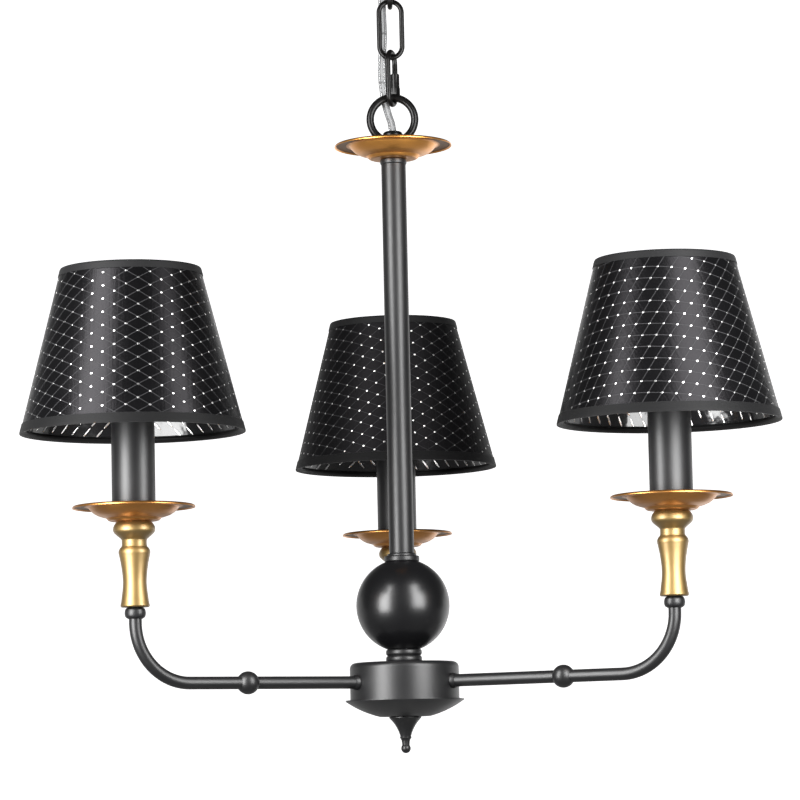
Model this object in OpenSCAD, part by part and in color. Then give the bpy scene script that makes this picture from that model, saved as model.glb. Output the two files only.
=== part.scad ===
// Three-arm chandelier with fabric candle shades, hung by a short chain from a round ceiling canopy.
// Millimetres. +Z is up, the origin is on the ceiling at the chain's axis, and -Y is the front.

/* [Ceiling fitting] */
// Diameter of the ceiling canopy
canopy_d = 110; // [104:1:150]
// Depth of the canopy below the ceiling
canopy_depth = 30; // [28:1:45]
// Sheet thickness of the canopy
canopy_t = 1; // [0.6:0.1:1.6]
// Width of the lip that lies on the ceiling
canopy_lip = 3; // [2:0.5:5]
// Length of the mounting bracket
bracket_l = 86; // [84:1:92]
// Width of the mounting bracket
bracket_w = 18; // [17:1:26]
// Sheet thickness of the bracket
bracket_t = 1.5; // [1:0.1:2]
// Depth of the bracket's hat below the ceiling
bracket_drop = 18; // [18:0.5:20]
// Length of the bracket's hat
hat_l = 46; // [44:1:48]
// Distance between the two screw slots
screw_spacing = 66; // [64:1:68]
// Width of a screw slot
slot_w = 4.6; // [4:0.1:5]
// Length of a screw slot, end to end
slot_l = 14; // [9:1:14]

/* [Chain] */
// Outer length of a chain link
link_l = 40.5; // [36:0.5:45]
// Outer width of a chain link
link_w = 18; // [17:0.5:21]
// Wire diameter of a chain link
link_wire = 3.3; // [2.8:0.1:3.5]
// Outer length of the screw-gate quick link
quick_l = 38; // [37:0.5:42]
// Outer width of the quick link
quick_w = 17; // [16.5:0.5:20]
// Wire diameter of the quick link
quick_wire = 3.4; // [3:0.1:3.6]
// Angle by which the quick link is turned about the vertical
quick_turn = 20; // [0:1:24]
// Length of the quick link's sleeve nut
gate_nut_l = 14.4; // [13:0.1:15]
// Width across flats of the sleeve nut
gate_nut_af = 5.7; // [5:0.1:6]
// Opening in the quick link's leg that the sleeve nut closes
gate_gap = 5.2; // [4.5:0.1:5.4]

/* [Loops] */
// Outer diameter of a hanging ring
loop_d = 34; // [32:0.5:38]
// Wire diameter of a hanging ring
loop_wire = 5; // [4:0.1:5.5]
// Diameter of the boss below a ring
boss_d = 13; // [12.5:0.1:15]
// Length of the boss
boss_l = 17.5; // [15:0.5:20]
// Distance from the ring's centre to the end of the boss inside it
boss_reach = 8; // [7:0.1:9]

/* [Cord] */
// Width of the flat clear cord
cord_w = 5; // [4.5:0.1:5.2]
// Thickness of the flat clear cord
cord_t = 2.5; // [2.2:0.1:2.7]
// Diameter of the sheathed wire inside an arm
wire_d = 4.4; // [4.1:0.1:4.8]

/* [Stem] */
// Diameter of the threaded centre rod
rod_d = 10; // [9.5:0.1:10.5]
// Bore of the centre rod
rod_bore = 7; // [6.5:0.1:7.2]
// Diameter of the stem tube
stem_d = 16; // [14:0.5:18]
// Wall of the stem tube
stem_t = 1; // [0.8:0.1:1.5]
// Length of the stem tube
stem_l = 253.3; // [150:0.1:400]
// Diameter of the cap at the top of the stem
stem_cap_d = 17.2; // [16:0.1:20]
// Height of the cap at the top of the stem
stem_cap_h = 3.4; // [2:0.1:6]
// Diameter of the collar at the foot of the stem
foot_d = 22.5; // [21.7:0.1:26]
// Height of the collar at the foot of the stem
foot_h = 3.7; // [2:0.1:8]
// Diameter of the small ring on that collar
foot_ring_d = 18.6; // [16:0.1:21]
// Height of the small ring on that collar
foot_ring_h = 1.7; // [1:0.1:4]
// Diameter of the ball
ball_d = 60; // [50:1:70]
// Wall of the ball
ball_t = 1.2; // [1:0.1:2]
// Diameter of the openings at the ball's poles
ball_open_d = 21.5; // [19:0.1:21.5]
// Diameter of the ridged neck below the ball
neck_d = 23.2; // [22:0.1:26]
// Height of the ridged neck
neck_h = 8.5; // [6:0.1:12]
// Depth of the groove between the neck's two ridges
neck_groove = 0.9; // [0.4:0.1:1.5]

/* [Hub] */
// Diameter of the hub
hub_d = 70; // [66:0.5:74]
// Height of the hub from its top to its lower edge
hub_h = 25.6; // [22:0.1:30]
// Wall of the hub
hub_t = 1.2; // [0.8:0.1:2]
// Radius of the hub's rounded top edge
hub_edge = 3.6; // [2.5:0.1:5]
// Depth of the arms' axes below the top of the hub
arm_drop = 12.8; // [11:0.1:14]
// Diameter of the saucer below the hub
saucer_d = 76; // [75:0.5:84]
// Depth of the saucer
saucer_depth = 10; // [8:0.1:13]
// Sheet thickness of the saucer
saucer_t = 1; // [0.8:0.1:1.5]
// Diameter of the saucer's flat middle
saucer_flat_d = 33; // [26:0.5:36]
// Diameter of the finial's flange
finial_d = 20.6; // [18:0.1:24]
// Height of the finial
finial_h = 23.5; // [20:0.1:30]
// Diameter of the finial's neck
finial_neck_d = 5; // [4:0.1:6]
// Diameter of the finial's tip ball
finial_tip_d = 6.2; // [5:0.1:8]

/* [Arms] */
// Distance from the stem's axis to a candle's axis
arm_reach = 192; // [170:1:230]
// Diameter of an arm tube
arm_d = 8; // [7.5:0.1:9]
// Wall of an arm tube
arm_t = 1; // [0.8:0.1:1.2]
// Radius of an arm's bend, at the tube's axis
bend_r = 37; // [30:0.5:38]
// Distance of the bead on an arm from the stem's axis
arm_bead_r = 114; // [70:1:120]
// Diameter of the bead on an arm
arm_bead_d = 14.5; // [12:0.1:18]
// Diameter of the ferrule where an arm meets the hub
ferrule_d = 9.8; // [9.2:0.1:14]
// Length of the ferrule
ferrule_l = 3; // [2:0.1:5]
// Height of the end bead's foot above the arm's axis
end_bead_z = 39.4; // [38.5:0.1:50]
// Diameter of the end bead
end_bead_d = 13.2; // [11:0.1:16]
// Height of the end bead
end_bead_h = 7.3; // [6:0.1:10]

/* [Baluster] */
// Height of a baluster
baluster_h = 53; // [51:0.5:60]
// Diameter of the baluster's foot
baluster_foot_d = 18.2; // [15:0.1:22]
// Diameter of the waist
baluster_waist_d = 14.7; // [13:0.1:16]
// Height of the waist
baluster_waist_z = 15.5; // [13:0.1:18]
// Diameter of the shoulder
baluster_shoulder_d = 19.7; // [17:0.1:22]
// Height of the shoulder
baluster_shoulder_z = 33.5; // [31:0.1:35]
// Diameter of the neck
baluster_neck_d = 15.5; // [14:0.1:17]
// Height of the lower end of the neck
baluster_neck_z = 38.8; // [38.4:0.1:39.5]
// Length of the neck
baluster_neck_l = 2.8; // [2:0.1:4]
// Diameter of the bulge
baluster_bulge_d = 26.2; // [22:0.1:27]
// Height of the bulge
baluster_bulge_z = 47.8; // [47:0.1:49]
// Diameter of the baluster's top
baluster_top_d = 21; // [18:0.1:22]

/* [Dishes] */
// Diameter of a drip pan and of the dish at the top of the stem
dish_d = 76; // [72:0.5:90]
// Depth of a dish
dish_depth = 10; // [8:0.1:12]
// Sheet thickness of a dish
dish_t = 0.8; // [0.6:0.1:1.2]
// Diameter of a dish's flat floor
dish_floor_d = 28.4; // [27.6:0.1:30]
// Diameter of a dish's bowl, inside its flat rim
dish_bowl_d = 59.6; // [54:0.1:64]

/* [Candles] */
// Diameter of a candle sleeve
candle_d = 27; // [26.6:0.1:27.4]
// Wall of a candle sleeve
candle_t = 1; // [0.8:0.1:1.2]
// Length of a candle sleeve
candle_h = 71.9; // [65:0.1:85]
// Length of the lampholder's thread that stands above the sleeve
holder_neck = 9; // [8:0.5:12]
// Diameter of the bulb's screw cap
bulb_cap_d = 13.8; // [13.6:0.1:14]
// Diameter of the bulb's glass
bulb_d = 35; // [30:0.5:36]
// Height of the bulb's glass
bulb_h = 68; // [60:1:72]
// Wall of the bulb's glass and cap
bulb_t = 0.8; // [0.6:0.1:1.2]

/* [Shades] */
// Diameter of a shade's upper edge
shade_top_d = 87; // [80:0.5:100]
// Diameter of a shade's lower edge
shade_bottom_d = 139.5; // [120:0.5:160]
// Height of a shade
shade_h = 102.5; // [85:0.5:120]
// Thickness of a shade's laminated cloth
shade_t = 0.8; // [0.6:0.1:1.2]
// Depth of a shade's lower edge below the top of the candle sleeve
shade_drop = 18; // [10:0.5:30]
// Thickness of the edge tapes
trim_t = 0.4; // [0.2:0.1:0.8]
// Width of the upper edge tape
trim_top_w = 5; // [3:0.1:8]
// Width of the lower edge tape
trim_bottom_w = 6.2; // [3:0.1:9]
// Wire diameter of the shade's rings
shade_wire = 2.4; // [2:0.1:3]
// Wire diameter of the shade's spokes
spoke_wire = 2; // [1.6:0.1:2.4]
// Diameter of the shade's fitter ring
fitter_d = 40; // [38:0.5:44]
// Thickness of the fitter ring
fitter_t = 1.2; // [1:0.1:2]
// Diameter of the nut that holds the fitter ring down
ring_nut_d = 32; // [30:0.5:33]
// Height of that nut
ring_nut_h = 5; // [4:0.1:6]

/* [Fits] */
// Radial clearance of a screwed or pushed fit
fit = 0.05; // [0.03:0.01:0.1]
// Clearance of a hole round a rod or tube that only passes through
pass = 0.2; // [0.1:0.05:0.3]
// Gap between chain wires, and between a shade and what carries it
rest_gap = 0.3; // [0.2:0.05:0.4]

/* [Hidden] */
$fn = 64;
eps = 0.01;
lamp_count = 3;
lamp_angle = [210, 330, 90];
nut_af = 14;
nut_h = 4;
arm_nut_af = 13;
nut_bite = 6;
finial_bite = 4;
nipple_in = 8;
nipple_stand = 0.5;
holder_base_d = 16;
holder_base_h = 12;
holder_side = 0.3;
bulb_cap_h = 25;
socket_side = 0.3;
crimp_d = 6;
crimp_h = 14;
crimp_side = 0.5;
terminal = [16, 12, 13.5];
terminal_side = 0.4;
cord_bend = 5;
arm_inside = 9;
arm_nut_back = 2;
wire_tail = 2;
gate_stub = 1;

// Heights, from the ceiling down the chain
z_canopy = -canopy_depth;
loop_r = (loop_d - loop_wire) / 2;
z_canopy_boss = z_canopy - boss_l;
z_canopy_loop = z_canopy_boss - boss_reach;
z_pivot_1 = z_canopy_loop - loop_r;
link_r = (link_w - link_wire) / 2;
link_span = link_l - link_wire;
z_upper_top = z_pivot_1 + loop_wire / 2 + rest_gap + link_wire / 2;
z_pivot_2 = z_upper_top - link_span;
z_lower_top = z_pivot_2 + link_wire + rest_gap;
z_pivot_3 = z_lower_top - link_span;
quick_r = (quick_w - quick_wire) / 2;
quick_span = quick_l - quick_wire;
z_quick_top = z_pivot_3 + link_wire / 2 + rest_gap + quick_wire / 2;
z_pivot_4 = z_quick_top - quick_span;
z_gate = z_pivot_4 + quick_r + eps;
z_loop = z_pivot_4 + quick_wire / 2 + rest_gap + loop_wire / 2 - loop_r;

// Heights down the stem
z_boss = z_loop - boss_reach;
z_top_dish = z_boss - boss_l - dish_t;
z_stem_top = z_top_dish - stem_cap_h;
z_stem_foot = z_stem_top - stem_l;
z_ball_top = z_stem_foot - foot_ring_h - foot_h;
ball_half = sqrt(pow(ball_d / 2, 2) - pow(ball_open_d / 2, 2));
z_ball = z_ball_top - ball_half;
z_neck = z_ball - ball_half;
z_hub_top = z_neck - neck_h;
z_arm = z_hub_top - arm_drop;
z_hub_foot = z_hub_top - hub_h;
rod_hole_d = rod_d + 2 * pass;
rod_fit_d = rod_d + 2 * fit;

// Saucer: a spherical sheet that the hub's lower edge stands in
saucer_flat_r = saucer_flat_d / 2;
saucer_rim_r = saucer_d / 2;
saucer_rise = (pow(saucer_rim_r, 2) - pow(saucer_flat_r, 2)) / (2 * saucer_depth) + saucer_depth / 2;
saucer_ball_r = sqrt(pow(saucer_flat_r, 2) + pow(saucer_rise, 2));
function saucer_z(r) = saucer_rise - sqrt(pow(saucer_ball_r, 2) - r * r);
z_saucer = z_hub_foot - saucer_t - saucer_z(hub_d / 2);
z_rod_foot = z_saucer - finial_bite;

// Heights of a lamp
z_baluster = z_arm + end_bead_z + end_bead_h;
z_arm_end = z_baluster + nipple_in;
z_pan = z_baluster + baluster_h;
z_candle = z_pan + dish_t;
z_candle_top = z_candle + candle_h;
z_holder_top = z_candle_top + holder_neck;
z_fitter = z_candle_top + rest_gap;
z_shade = z_candle_top - shade_drop;
z_shade_top = z_shade + shade_h;
arm_foot_r = hub_d / 2 - arm_inside;
candle_bore = candle_d - 2 * candle_t;
holder_d = candle_bore - 2 * holder_side;
socket_d = bulb_cap_d + 2 * socket_side;
fitter_bore = holder_d + 2 * rest_gap;

// Shade cone: radius of the outer face at a height, and its slope
shade_slope = (shade_bottom_d - shade_top_d) / 2 / shade_h;
shade_lean = sqrt(1 + shade_slope * shade_slope);
function shade_r(z) = shade_bottom_d / 2 - (z - z_shade) * shade_slope;
function shade_in_r(z) = shade_r(z) - shade_t * shade_lean;
ring_side = (shade_wire / 2 + 2 * fit) * shade_lean;
z_hem_ring = z_shade + shade_wire;
z_top_ring = z_shade_top - shade_wire;
hem_ring_r = shade_in_r(z_hem_ring) - ring_side;
top_ring_r = shade_in_r(z_top_ring) - ring_side;
spoke_foot_r = (fitter_d - spoke_wire) / 2;

// Route of the cord from the canopy loop, behind the rings and beside the links, to the lamp's loop
cord_route_1 = [[0, 0, -47.5], [-0.6, 0.7, -53], [-2.4, 2.6, -59], [-4.6, 4.4, -65], [-5.2, 4.7, -71],
    [-5.2, 4.6, -78.5], [-5.1, 4.4, -86]];
cord_route_2 = [[-5.1, 4.4, -86], [-5.1, 4.2, -94], [-5.1, 4.1, -102], [-4.9, 3.9, -111],
    [-4.7, 3.8, -119.5]];
cord_route_3 = [[-4.7, 3.8, -119.5], [-5.1, 3.8, -127], [-5.9, 3.9, -135], [-6.4, 4.1, -143.5],
    [-6.1, 4.3, -152]];
cord_route_4 = [[-6.1, 4.3, -152], [-5.3, 4.6, -159], [-4.3, 4.4, -166], [-2.7, 2.9, -173],
    [-0.8, 0.9, -179.5], [0, 0, -185.3]];
cord_routes = [cord_route_1, cord_route_2, cord_route_3, cord_route_4];
cord_sides = 8;

black = [0.09, 0.09, 0.1];
brass = [0.72, 0.53, 0.24];
steel = [0.7, 0.7, 0.72];

LAMP_NODES = ["arm", "baluster", "drip_pan", "candle_sleeve", "shade_cover", "shade_carrier",
    "shade_hem_ring"];

// Points along an arc in a profile
function arc(c, r, a0, a1, n) = [for (i = [0:n]) let (a = a0 + (a1 - a0) * i / n)
    c + r * [cos(a), sin(a)]];

// Smooth curve through a few knots, n steps to a span
function knot(k, i) = k[max(0, min(len(k) - 1, i))];
function span_point(a, b, c, d, t) = 0.5 * (2 * b + (c - a) * t + (2 * a - 5 * b + 4 * c - d) * t * t
    + (3 * b - a - 3 * c + d) * t * t * t);
function curve(k, n) = concat([for (i = [0:len(k) - 2]) for (j = [0:n - 1])
    span_point(knot(k, i - 1), k[i], k[i + 1], knot(k, i + 2), j / n)], [k[len(k) - 1]]);

// Closed profile of a sheet whose lower face follows a path
function lifted(path, t) = concat(path, [for (i = [len(path) - 1:-1:0]) path[i] + [0, t]]);

// Solid of revolution about Z
module turned(profile, z = 0) {
    translate([0, 0, z]) rotate_extrude() polygon(profile);
}

// Round tube standing on a height
module tube(d, bore, h, z) {
    translate([0, 0, z]) difference() {
        cylinder(d = d, h = h);
        translate([0, 0, -eps]) cylinder(d = bore, h = h + 2 * eps);
    }
}

// Hexagonal nut standing on a height
module hex_nut(af, bore, h, z) {
    translate([0, 0, z]) difference() {
        cylinder(d = af / cos(30), h = h, $fn = 6);
        translate([0, 0, -eps]) cylinder(d = bore, h = h + 2 * eps);
    }
}

// Torus about Z
module wire_ring(r, wire) {
    rotate_extrude() translate([r, 0]) circle(d = wire);
}

// Half of a torus about Z, on the +Y side
module wire_bow(r, wire) {
    rotate_extrude(angle = 180) translate([r, 0]) circle(d = wire);
}

// Straight wire between two points
module spoke(a, b, wire) {
    v = b - a;
    translate(a) rotate([0, acos(v[2] / norm(v)), atan2(v[1], v[0])]) cylinder(d = wire, h = norm(v));
}

// Copies of a lamp's pieces at its place on the end of an arm, and along an arm
module at_lamp(k) {
    rotate(lamp_angle[k - 1]) translate([arm_reach, 0, 0]) children();
}
module along_arm(k, r) {
    rotate(lamp_angle[k - 1]) translate([r, 0, z_arm]) rotate([0, 90, 0]) children();
}

// Ring with a drilled boss, boss downwards, origin at the ring's centre
module ring_and_boss() {
    boss_edge = 2;
    boss_r = boss_d / 2;
    foot = -boss_reach - boss_l;
    round_edge = arc([boss_r - boss_edge, -boss_reach - boss_edge], boss_edge, 0, 90, 6);
    difference() {
        union() {
            rotate([90, 0, 0]) wire_ring(loop_r, loop_wire);
            turned(concat([[0, foot], [boss_r, foot]], round_edge, [[0, -boss_reach]]));
        }
        translate([0, 0, foot - eps]) cylinder(d = rod_fit_d, h = boss_l + boss_reach);
    }
}

// Chain link in the XZ plane, origin at the middle of its upper bow's wire
module chain_link() {
    leg = link_span - 2 * link_r;
    translate([0, 0, -link_r]) rotate([90, 0, 0]) wire_bow(link_r, link_wire);
    translate([0, 0, -link_r - leg]) rotate([-90, 0, 0]) wire_bow(link_r, link_wire);
    for (x = [-link_r, link_r]) translate([x, 0, -link_r - leg]) cylinder(d = link_wire, h = leg);
}

// Flat cord's cross-section, and the tube that it sweeps along a route
module cord_section() {
    square([cord_w - cord_t, cord_t], center = true);
    for (x = [-1, 1]) translate([x * (cord_w - cord_t) / 2, 0]) circle(d = cord_t);
}
function cord_point(p, i) = let (a = i * 360 / cord_sides)
    p + [cord_w / 2 * cos(a), cord_t / 2 * sin(a), 0];
module cord_tube(route) {
    n = len(route);
    polyhedron(
        [for (p = route) for (i = [0:cord_sides - 1]) cord_point(p, i)],
        concat([[for (i = [0:cord_sides - 1]) i]], [[for (i = [0:cord_sides - 1]) n * cord_sides - 1 - i]],
            [for (j = [0:n - 2]) for (i = [0:cord_sides - 1])
                let (a = j * cord_sides, b = a + cord_sides, q = (i + 1) % cord_sides)
                    each [[a + i, b + i, b + q], [a + i, b + q, a + q]]]));
}

// Pressed dish: flat floor, bowl and a flat rim with a turned-down edge, origin under its floor
module dish(hole_d) {
    floor_r = dish_floor_d / 2;
    bowl_r = dish_bowl_d / 2;
    rim_r = dish_d / 2;
    rim_z = dish_depth - dish_t;
    step = 1.3;
    bowl = curve([[floor_r, 0], [floor_r + 2.2, step], [floor_r + 5.6, step + 0.9],
        [(floor_r + bowl_r) / 2 + 4, rim_z * 0.58], [bowl_r - 0.6, rim_z - 0.6], [bowl_r + 1.4, rim_z]], 4);
    edge = curve([[rim_r - 2, rim_z], [rim_r - 0.7, rim_z - 0.2], [rim_r, rim_z - 1]], 3);
    turned(lifted(concat([[hole_d / 2, 0]], bowl, edge), dish_t));
}

// Outline of a screw slot
module screw_slot() {
    square([slot_w, slot_l - slot_w], center = true);
    for (e = [-1, 1]) translate([0, e * (slot_l - slot_w) / 2]) circle(d = slot_w);
}

module mounting_bracket() {
    foot_l = (bracket_l - hat_l) / 2 + bracket_t;
    color(steel) difference() {
        union() {
            for (s = [-1, 1]) {
                translate([-bracket_w / 2, s * (bracket_l - foot_l) / 2 - foot_l / 2, -bracket_t])
                    cube([bracket_w, foot_l, bracket_t]);
                translate([-bracket_w / 2, s * (hat_l - bracket_t) / 2 - bracket_t / 2, -bracket_drop])
                    cube([bracket_w, bracket_t, bracket_drop]);
            }
            translate([-bracket_w / 2, -hat_l / 2, -bracket_drop]) cube([bracket_w, hat_l, bracket_t]);
        }
        translate([0, 0, -bracket_drop - eps]) cylinder(d = rod_hole_d, h = bracket_t + 2 * eps);
        for (s = [-1, 1]) translate([0, s * screw_spacing / 2, -bracket_t - eps])
            linear_extrude(bracket_t + 2 * eps) screw_slot();
    }
}

module ceiling_canopy() {
    rim_r = canopy_d / 2;
    band = 6;
    top = curve([[rim_r, -band], [rim_r - 4, -canopy_depth * 0.5], [rim_r - 16, -canopy_depth * 0.78],
        [rim_r * 0.4, -canopy_depth * 0.96], [boss_d, -canopy_depth]], 4);
    inner = [for (i = [len(top) - 1:-1:0]) top[i] + [-canopy_t * (1 - i / (len(top) - 1)), canopy_t]];
    hole = [[rod_hole_d / 2, -canopy_depth], [rod_hole_d / 2, canopy_t - canopy_depth]];
    lip = [[rim_r - canopy_t, -canopy_t], [rim_r - canopy_lip, -canopy_t]];
    color(black) turned(concat([[rim_r - canopy_lip, 0], [rim_r, 0]], top, hole, inner, lip));
}

module canopy_nipple() {
    top = -bracket_drop + bracket_t + nut_h + nipple_stand;
    bottom = z_canopy - boss_l + nut_bite;
    color(steel) tube(rod_d, rod_bore, top - bottom, bottom);
}

module canopy_nuts() {
    color(steel) {
        hex_nut(nut_af, rod_fit_d, nut_h, -bracket_drop + bracket_t);
        hex_nut(nut_af, rod_fit_d, nut_h, -bracket_drop - nut_h);
    }
}

module canopy_loop() {
    color(black) translate([0, 0, z_canopy_loop]) mirror([0, 0, 1]) ring_and_boss();
}

module ceiling_terminal() {
    y = nut_af / 2 / cos(30) + terminal_side;
    color("ivory") translate([-terminal[0] / 2, y, -bracket_drop + bracket_t]) cube(terminal);
}

module canopy_cord() {
    z_bend = -bracket_drop + bracket_t + nut_h + 1;
    y = nut_af / 2 / cos(30) + terminal_side;
    color("lightgrey") {
        translate([0, 0, z_canopy_boss]) linear_extrude(z_bend - z_canopy_boss) cord_section();
        translate([0, cord_bend, z_bend]) rotate([0, 0, 90]) rotate([90, 0, 0]) rotate(90)
            rotate_extrude(angle = 90) translate([cord_bend, 0]) rotate(90) cord_section();
        translate([0, y, z_bend + cord_bend]) rotate([90, 0, 0])
            linear_extrude(y - cord_bend) cord_section();
    }
}

module chain_link_upper() {
    color(black) translate([0, 0, z_upper_top]) rotate(90) chain_link();
}

module chain_link_lower() {
    color(black) translate([0, 0, z_lower_top]) chain_link();
}

module quick_link() {
    leg = quick_span - 2 * quick_r;
    color(black) rotate(90 - quick_turn) translate([0, 0, z_quick_top]) {
        translate([0, 0, -quick_r]) rotate([90, 0, 0]) wire_bow(quick_r, quick_wire);
        translate([0, 0, -quick_r - leg]) rotate([-90, 0, 0]) wire_bow(quick_r, quick_wire);
        translate([-quick_r, 0, -quick_r - leg]) cylinder(d = quick_wire, h = leg);
        translate([quick_r, 0, -quick_r - leg]) cylinder(d = quick_wire, h = gate_stub);
        translate([quick_r, 0, -quick_r - leg + gate_stub + gate_gap])
            cylinder(d = quick_wire, h = leg - gate_stub - gate_gap);
    }
}

module quick_link_nut() {
    color(black) rotate(90 - quick_turn) translate([quick_r, 0, 0])
        hex_nut(gate_nut_af, quick_wire + 2 * fit, gate_nut_l, z_gate);
}

module supply_cord(i) {
    color("lightgrey") cord_tube(cord_routes[i - 1]);
}

module stem_cord() {
    z_end = z_arm + wire_d;
    color("lightgrey") translate([0, 0, z_end]) linear_extrude(z_boss - z_end) cord_section();
}

module hanging_loop() {
    color(black) translate([0, 0, z_loop]) ring_and_boss();
}

module top_dish() {
    color(brass) translate([0, 0, z_top_dish]) dish(rod_hole_d);
}

module stem_cap() {
    r = stem_cap_d / 2;
    edge = 0.8;
    color(black) turned(concat([[rod_hole_d / 2, 0], [r - edge, 0]], arc([r - edge, edge], edge, -90, 0, 4),
        arc([r - edge, stem_cap_h - edge], edge, 0, 90, 4), [[rod_hole_d / 2, stem_cap_h]]), z_stem_top);
}

module stem_tube() {
    color(black) tube(stem_d, stem_d - 2 * stem_t, stem_l, z_stem_foot);
}

module stem_foot() {
    r = foot_d / 2;
    edge = 0.9;
    ring_r = foot_ring_d / 2;
    color(black) turned(concat([[rod_hole_d / 2, 0], [r - edge, 0]], arc([r - edge, edge], edge, -90, 0, 4),
        arc([r - edge, foot_h - edge], edge, 0, 90, 4), [[ring_r, foot_h]],
        arc([ring_r - edge / 2, foot_h + foot_ring_h - edge / 2], edge / 2, 0, 90, 3),
        [[rod_hole_d / 2, foot_h + foot_ring_h]]), z_ball_top);
}

module ball() {
    color(black) translate([0, 0, z_ball]) difference() {
        intersection() {
            sphere(d = ball_d);
            translate([0, 0, -ball_half]) cylinder(d = ball_d, h = 2 * ball_half);
        }
        sphere(d = ball_d - 2 * ball_t);
    }
}

module ball_neck() {
    r = neck_d / 2;
    h = neck_h / 2;
    lower = curve([[r - neck_groove, 0], [r - 0.2, h * 0.25], [r, h * 0.5], [r - 0.2, h * 0.75],
        [r - neck_groove, h]], 2);
    upper = [for (p = lower) p + [0, h]];
    color(black) turned(concat([[rod_hole_d / 2, 0]], lower, upper, [[rod_hole_d / 2, neck_h]]), z_hub_top);
}

module hub_cup() {
    r = hub_d / 2;
    h = hub_h;
    outer = arc([r - hub_edge, h - hub_edge], hub_edge, 0, 90, 8);
    inner = arc([r - hub_edge, h - hub_edge], hub_edge - hub_t, 90, 0, 8);
    color(black) difference() {
        turned(concat([[r - hub_t, 0], [r, 0]], outer,
            [[rod_hole_d / 2, h], [rod_hole_d / 2, h - hub_t]], inner), z_hub_foot);
        for (k = [1:lamp_count]) along_arm(k, r - 3 * hub_t) cylinder(d = arm_d + 2 * pass, h = 5 * hub_t);
    }
}

module hub_saucer() {
    bowl = [for (i = [0:10]) let (r = saucer_flat_r + (saucer_rim_r - saucer_flat_r) * i / 10)
        [r, saucer_z(r)]];
    color(black) turned(lifted(concat([[rod_hole_d / 2, 0]], bowl), saucer_t), z_saucer);
}

module finial() {
    r = finial_d / 2;
    neck = finial_neck_d / 2;
    tip = finial_tip_d / 2;
    tip_z = tip - finial_h;
    tip_a = acos(neck * 0.94 / tip);
    flare = curve([[r, -1], [r * 0.8, -3.2], [r * 0.585, -6.4], [r * 0.435, -9.6], [neck * 1.4, -12.6]], 3);
    bead = [[neck * 1.52, -13.4], [neck * 1.32, -14.2], [neck, -finial_h + 2 * tip]];
    color(black) difference() {
        turned(concat([[0, 0], [r, 0]], flare, bead, arc([0, tip_z], tip, tip_a, -90, 10)), z_saucer);
        translate([0, 0, z_rod_foot - pass]) cylinder(d = rod_fit_d, h = finial_bite + pass + eps);
    }
}

module centre_rod() {
    top = z_boss - boss_l + nut_bite;
    color(steel) tube(rod_d, rod_bore, top - z_rod_foot, z_rod_foot);
}

module hub_nut() {
    color(steel) hex_nut(nut_af, rod_fit_d, nut_h, z_hub_top - hub_t - nut_h);
}

module crimp_caps() {
    x = (rod_d + crimp_d) / 2 + crimp_side;
    color("ivory") for (s = [-1, 1]) translate([s * x, 0, z_saucer + saucer_t]) {
        cylinder(d = crimp_d, h = crimp_h - crimp_d / 2);
        translate([0, 0, crimp_h - crimp_d / 2]) sphere(d = crimp_d);
    }
}

// Arm's path as a solid rod of a given diameter, from a radius to a height
module arm_path(d, foot_r, top_z) {
    run = arm_reach - bend_r;
    translate([foot_r, 0, z_arm]) rotate([0, 90, 0]) cylinder(d = d, h = run - foot_r);
    translate([run, 0, z_arm + bend_r]) rotate([90, 0, 0]) rotate(-90)
        rotate_extrude(angle = 90) translate([bend_r, 0]) circle(d = d);
    translate([arm_reach, 0, z_arm + bend_r]) cylinder(d = d, h = top_z - z_arm - bend_r);
}

module arm(k) {
    color(black) rotate(lamp_angle[k - 1]) difference() {
        arm_path(arm_d, arm_foot_r, z_arm_end);
        arm_path(arm_d - 2 * arm_t, arm_foot_r - 1, z_arm_end + 1);
    }
}

module arm_wires() {
    color("white") for (k = [1:lamp_count]) rotate(lamp_angle[k - 1])
        arm_path(wire_d, arm_foot_r - wire_tail, z_candle + holder_base_h - wire_tail / 2);
}

module arm_beads() {
    color(black) for (k = [1:lamp_count]) along_arm(k, arm_bead_r) difference() {
        sphere(d = arm_bead_d);
        translate([0, 0, -arm_bead_d]) cylinder(d = arm_d + 2 * fit, h = 2 * arm_bead_d);
    }
}

module arm_ferrules() {
    bore_r = arm_d / 2 + fit;
    profile = [[bore_r, 0], [ferrule_d / 2, 0], [ferrule_d / 2, ferrule_l * 0.4],
        [arm_d / 2 + 0.5, ferrule_l], [bore_r, ferrule_l]];
    color(black) for (k = [1:lamp_count]) along_arm(k, hub_d / 2) turned(profile);
}

module arm_nuts() {
    color(steel) for (k = [1:lamp_count]) along_arm(k, arm_foot_r + arm_nut_back)
        hex_nut(arm_nut_af, arm_d + 2 * fit, nut_h, 0);
}

module end_beads() {
    r = end_bead_d / 2;
    h = end_bead_h;
    color(black) for (k = [1:lamp_count]) at_lamp(k) turned(concat([[arm_d / 2 + fit, 0]],
        curve([[r - 1.8, 0], [r - 0.4, h * 0.2], [r, h * 0.5], [r - 0.4, h * 0.8], [r - 1.8, h]], 3),
        [[arm_d / 2 + fit, h]]), z_arm + end_bead_z);
}

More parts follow.
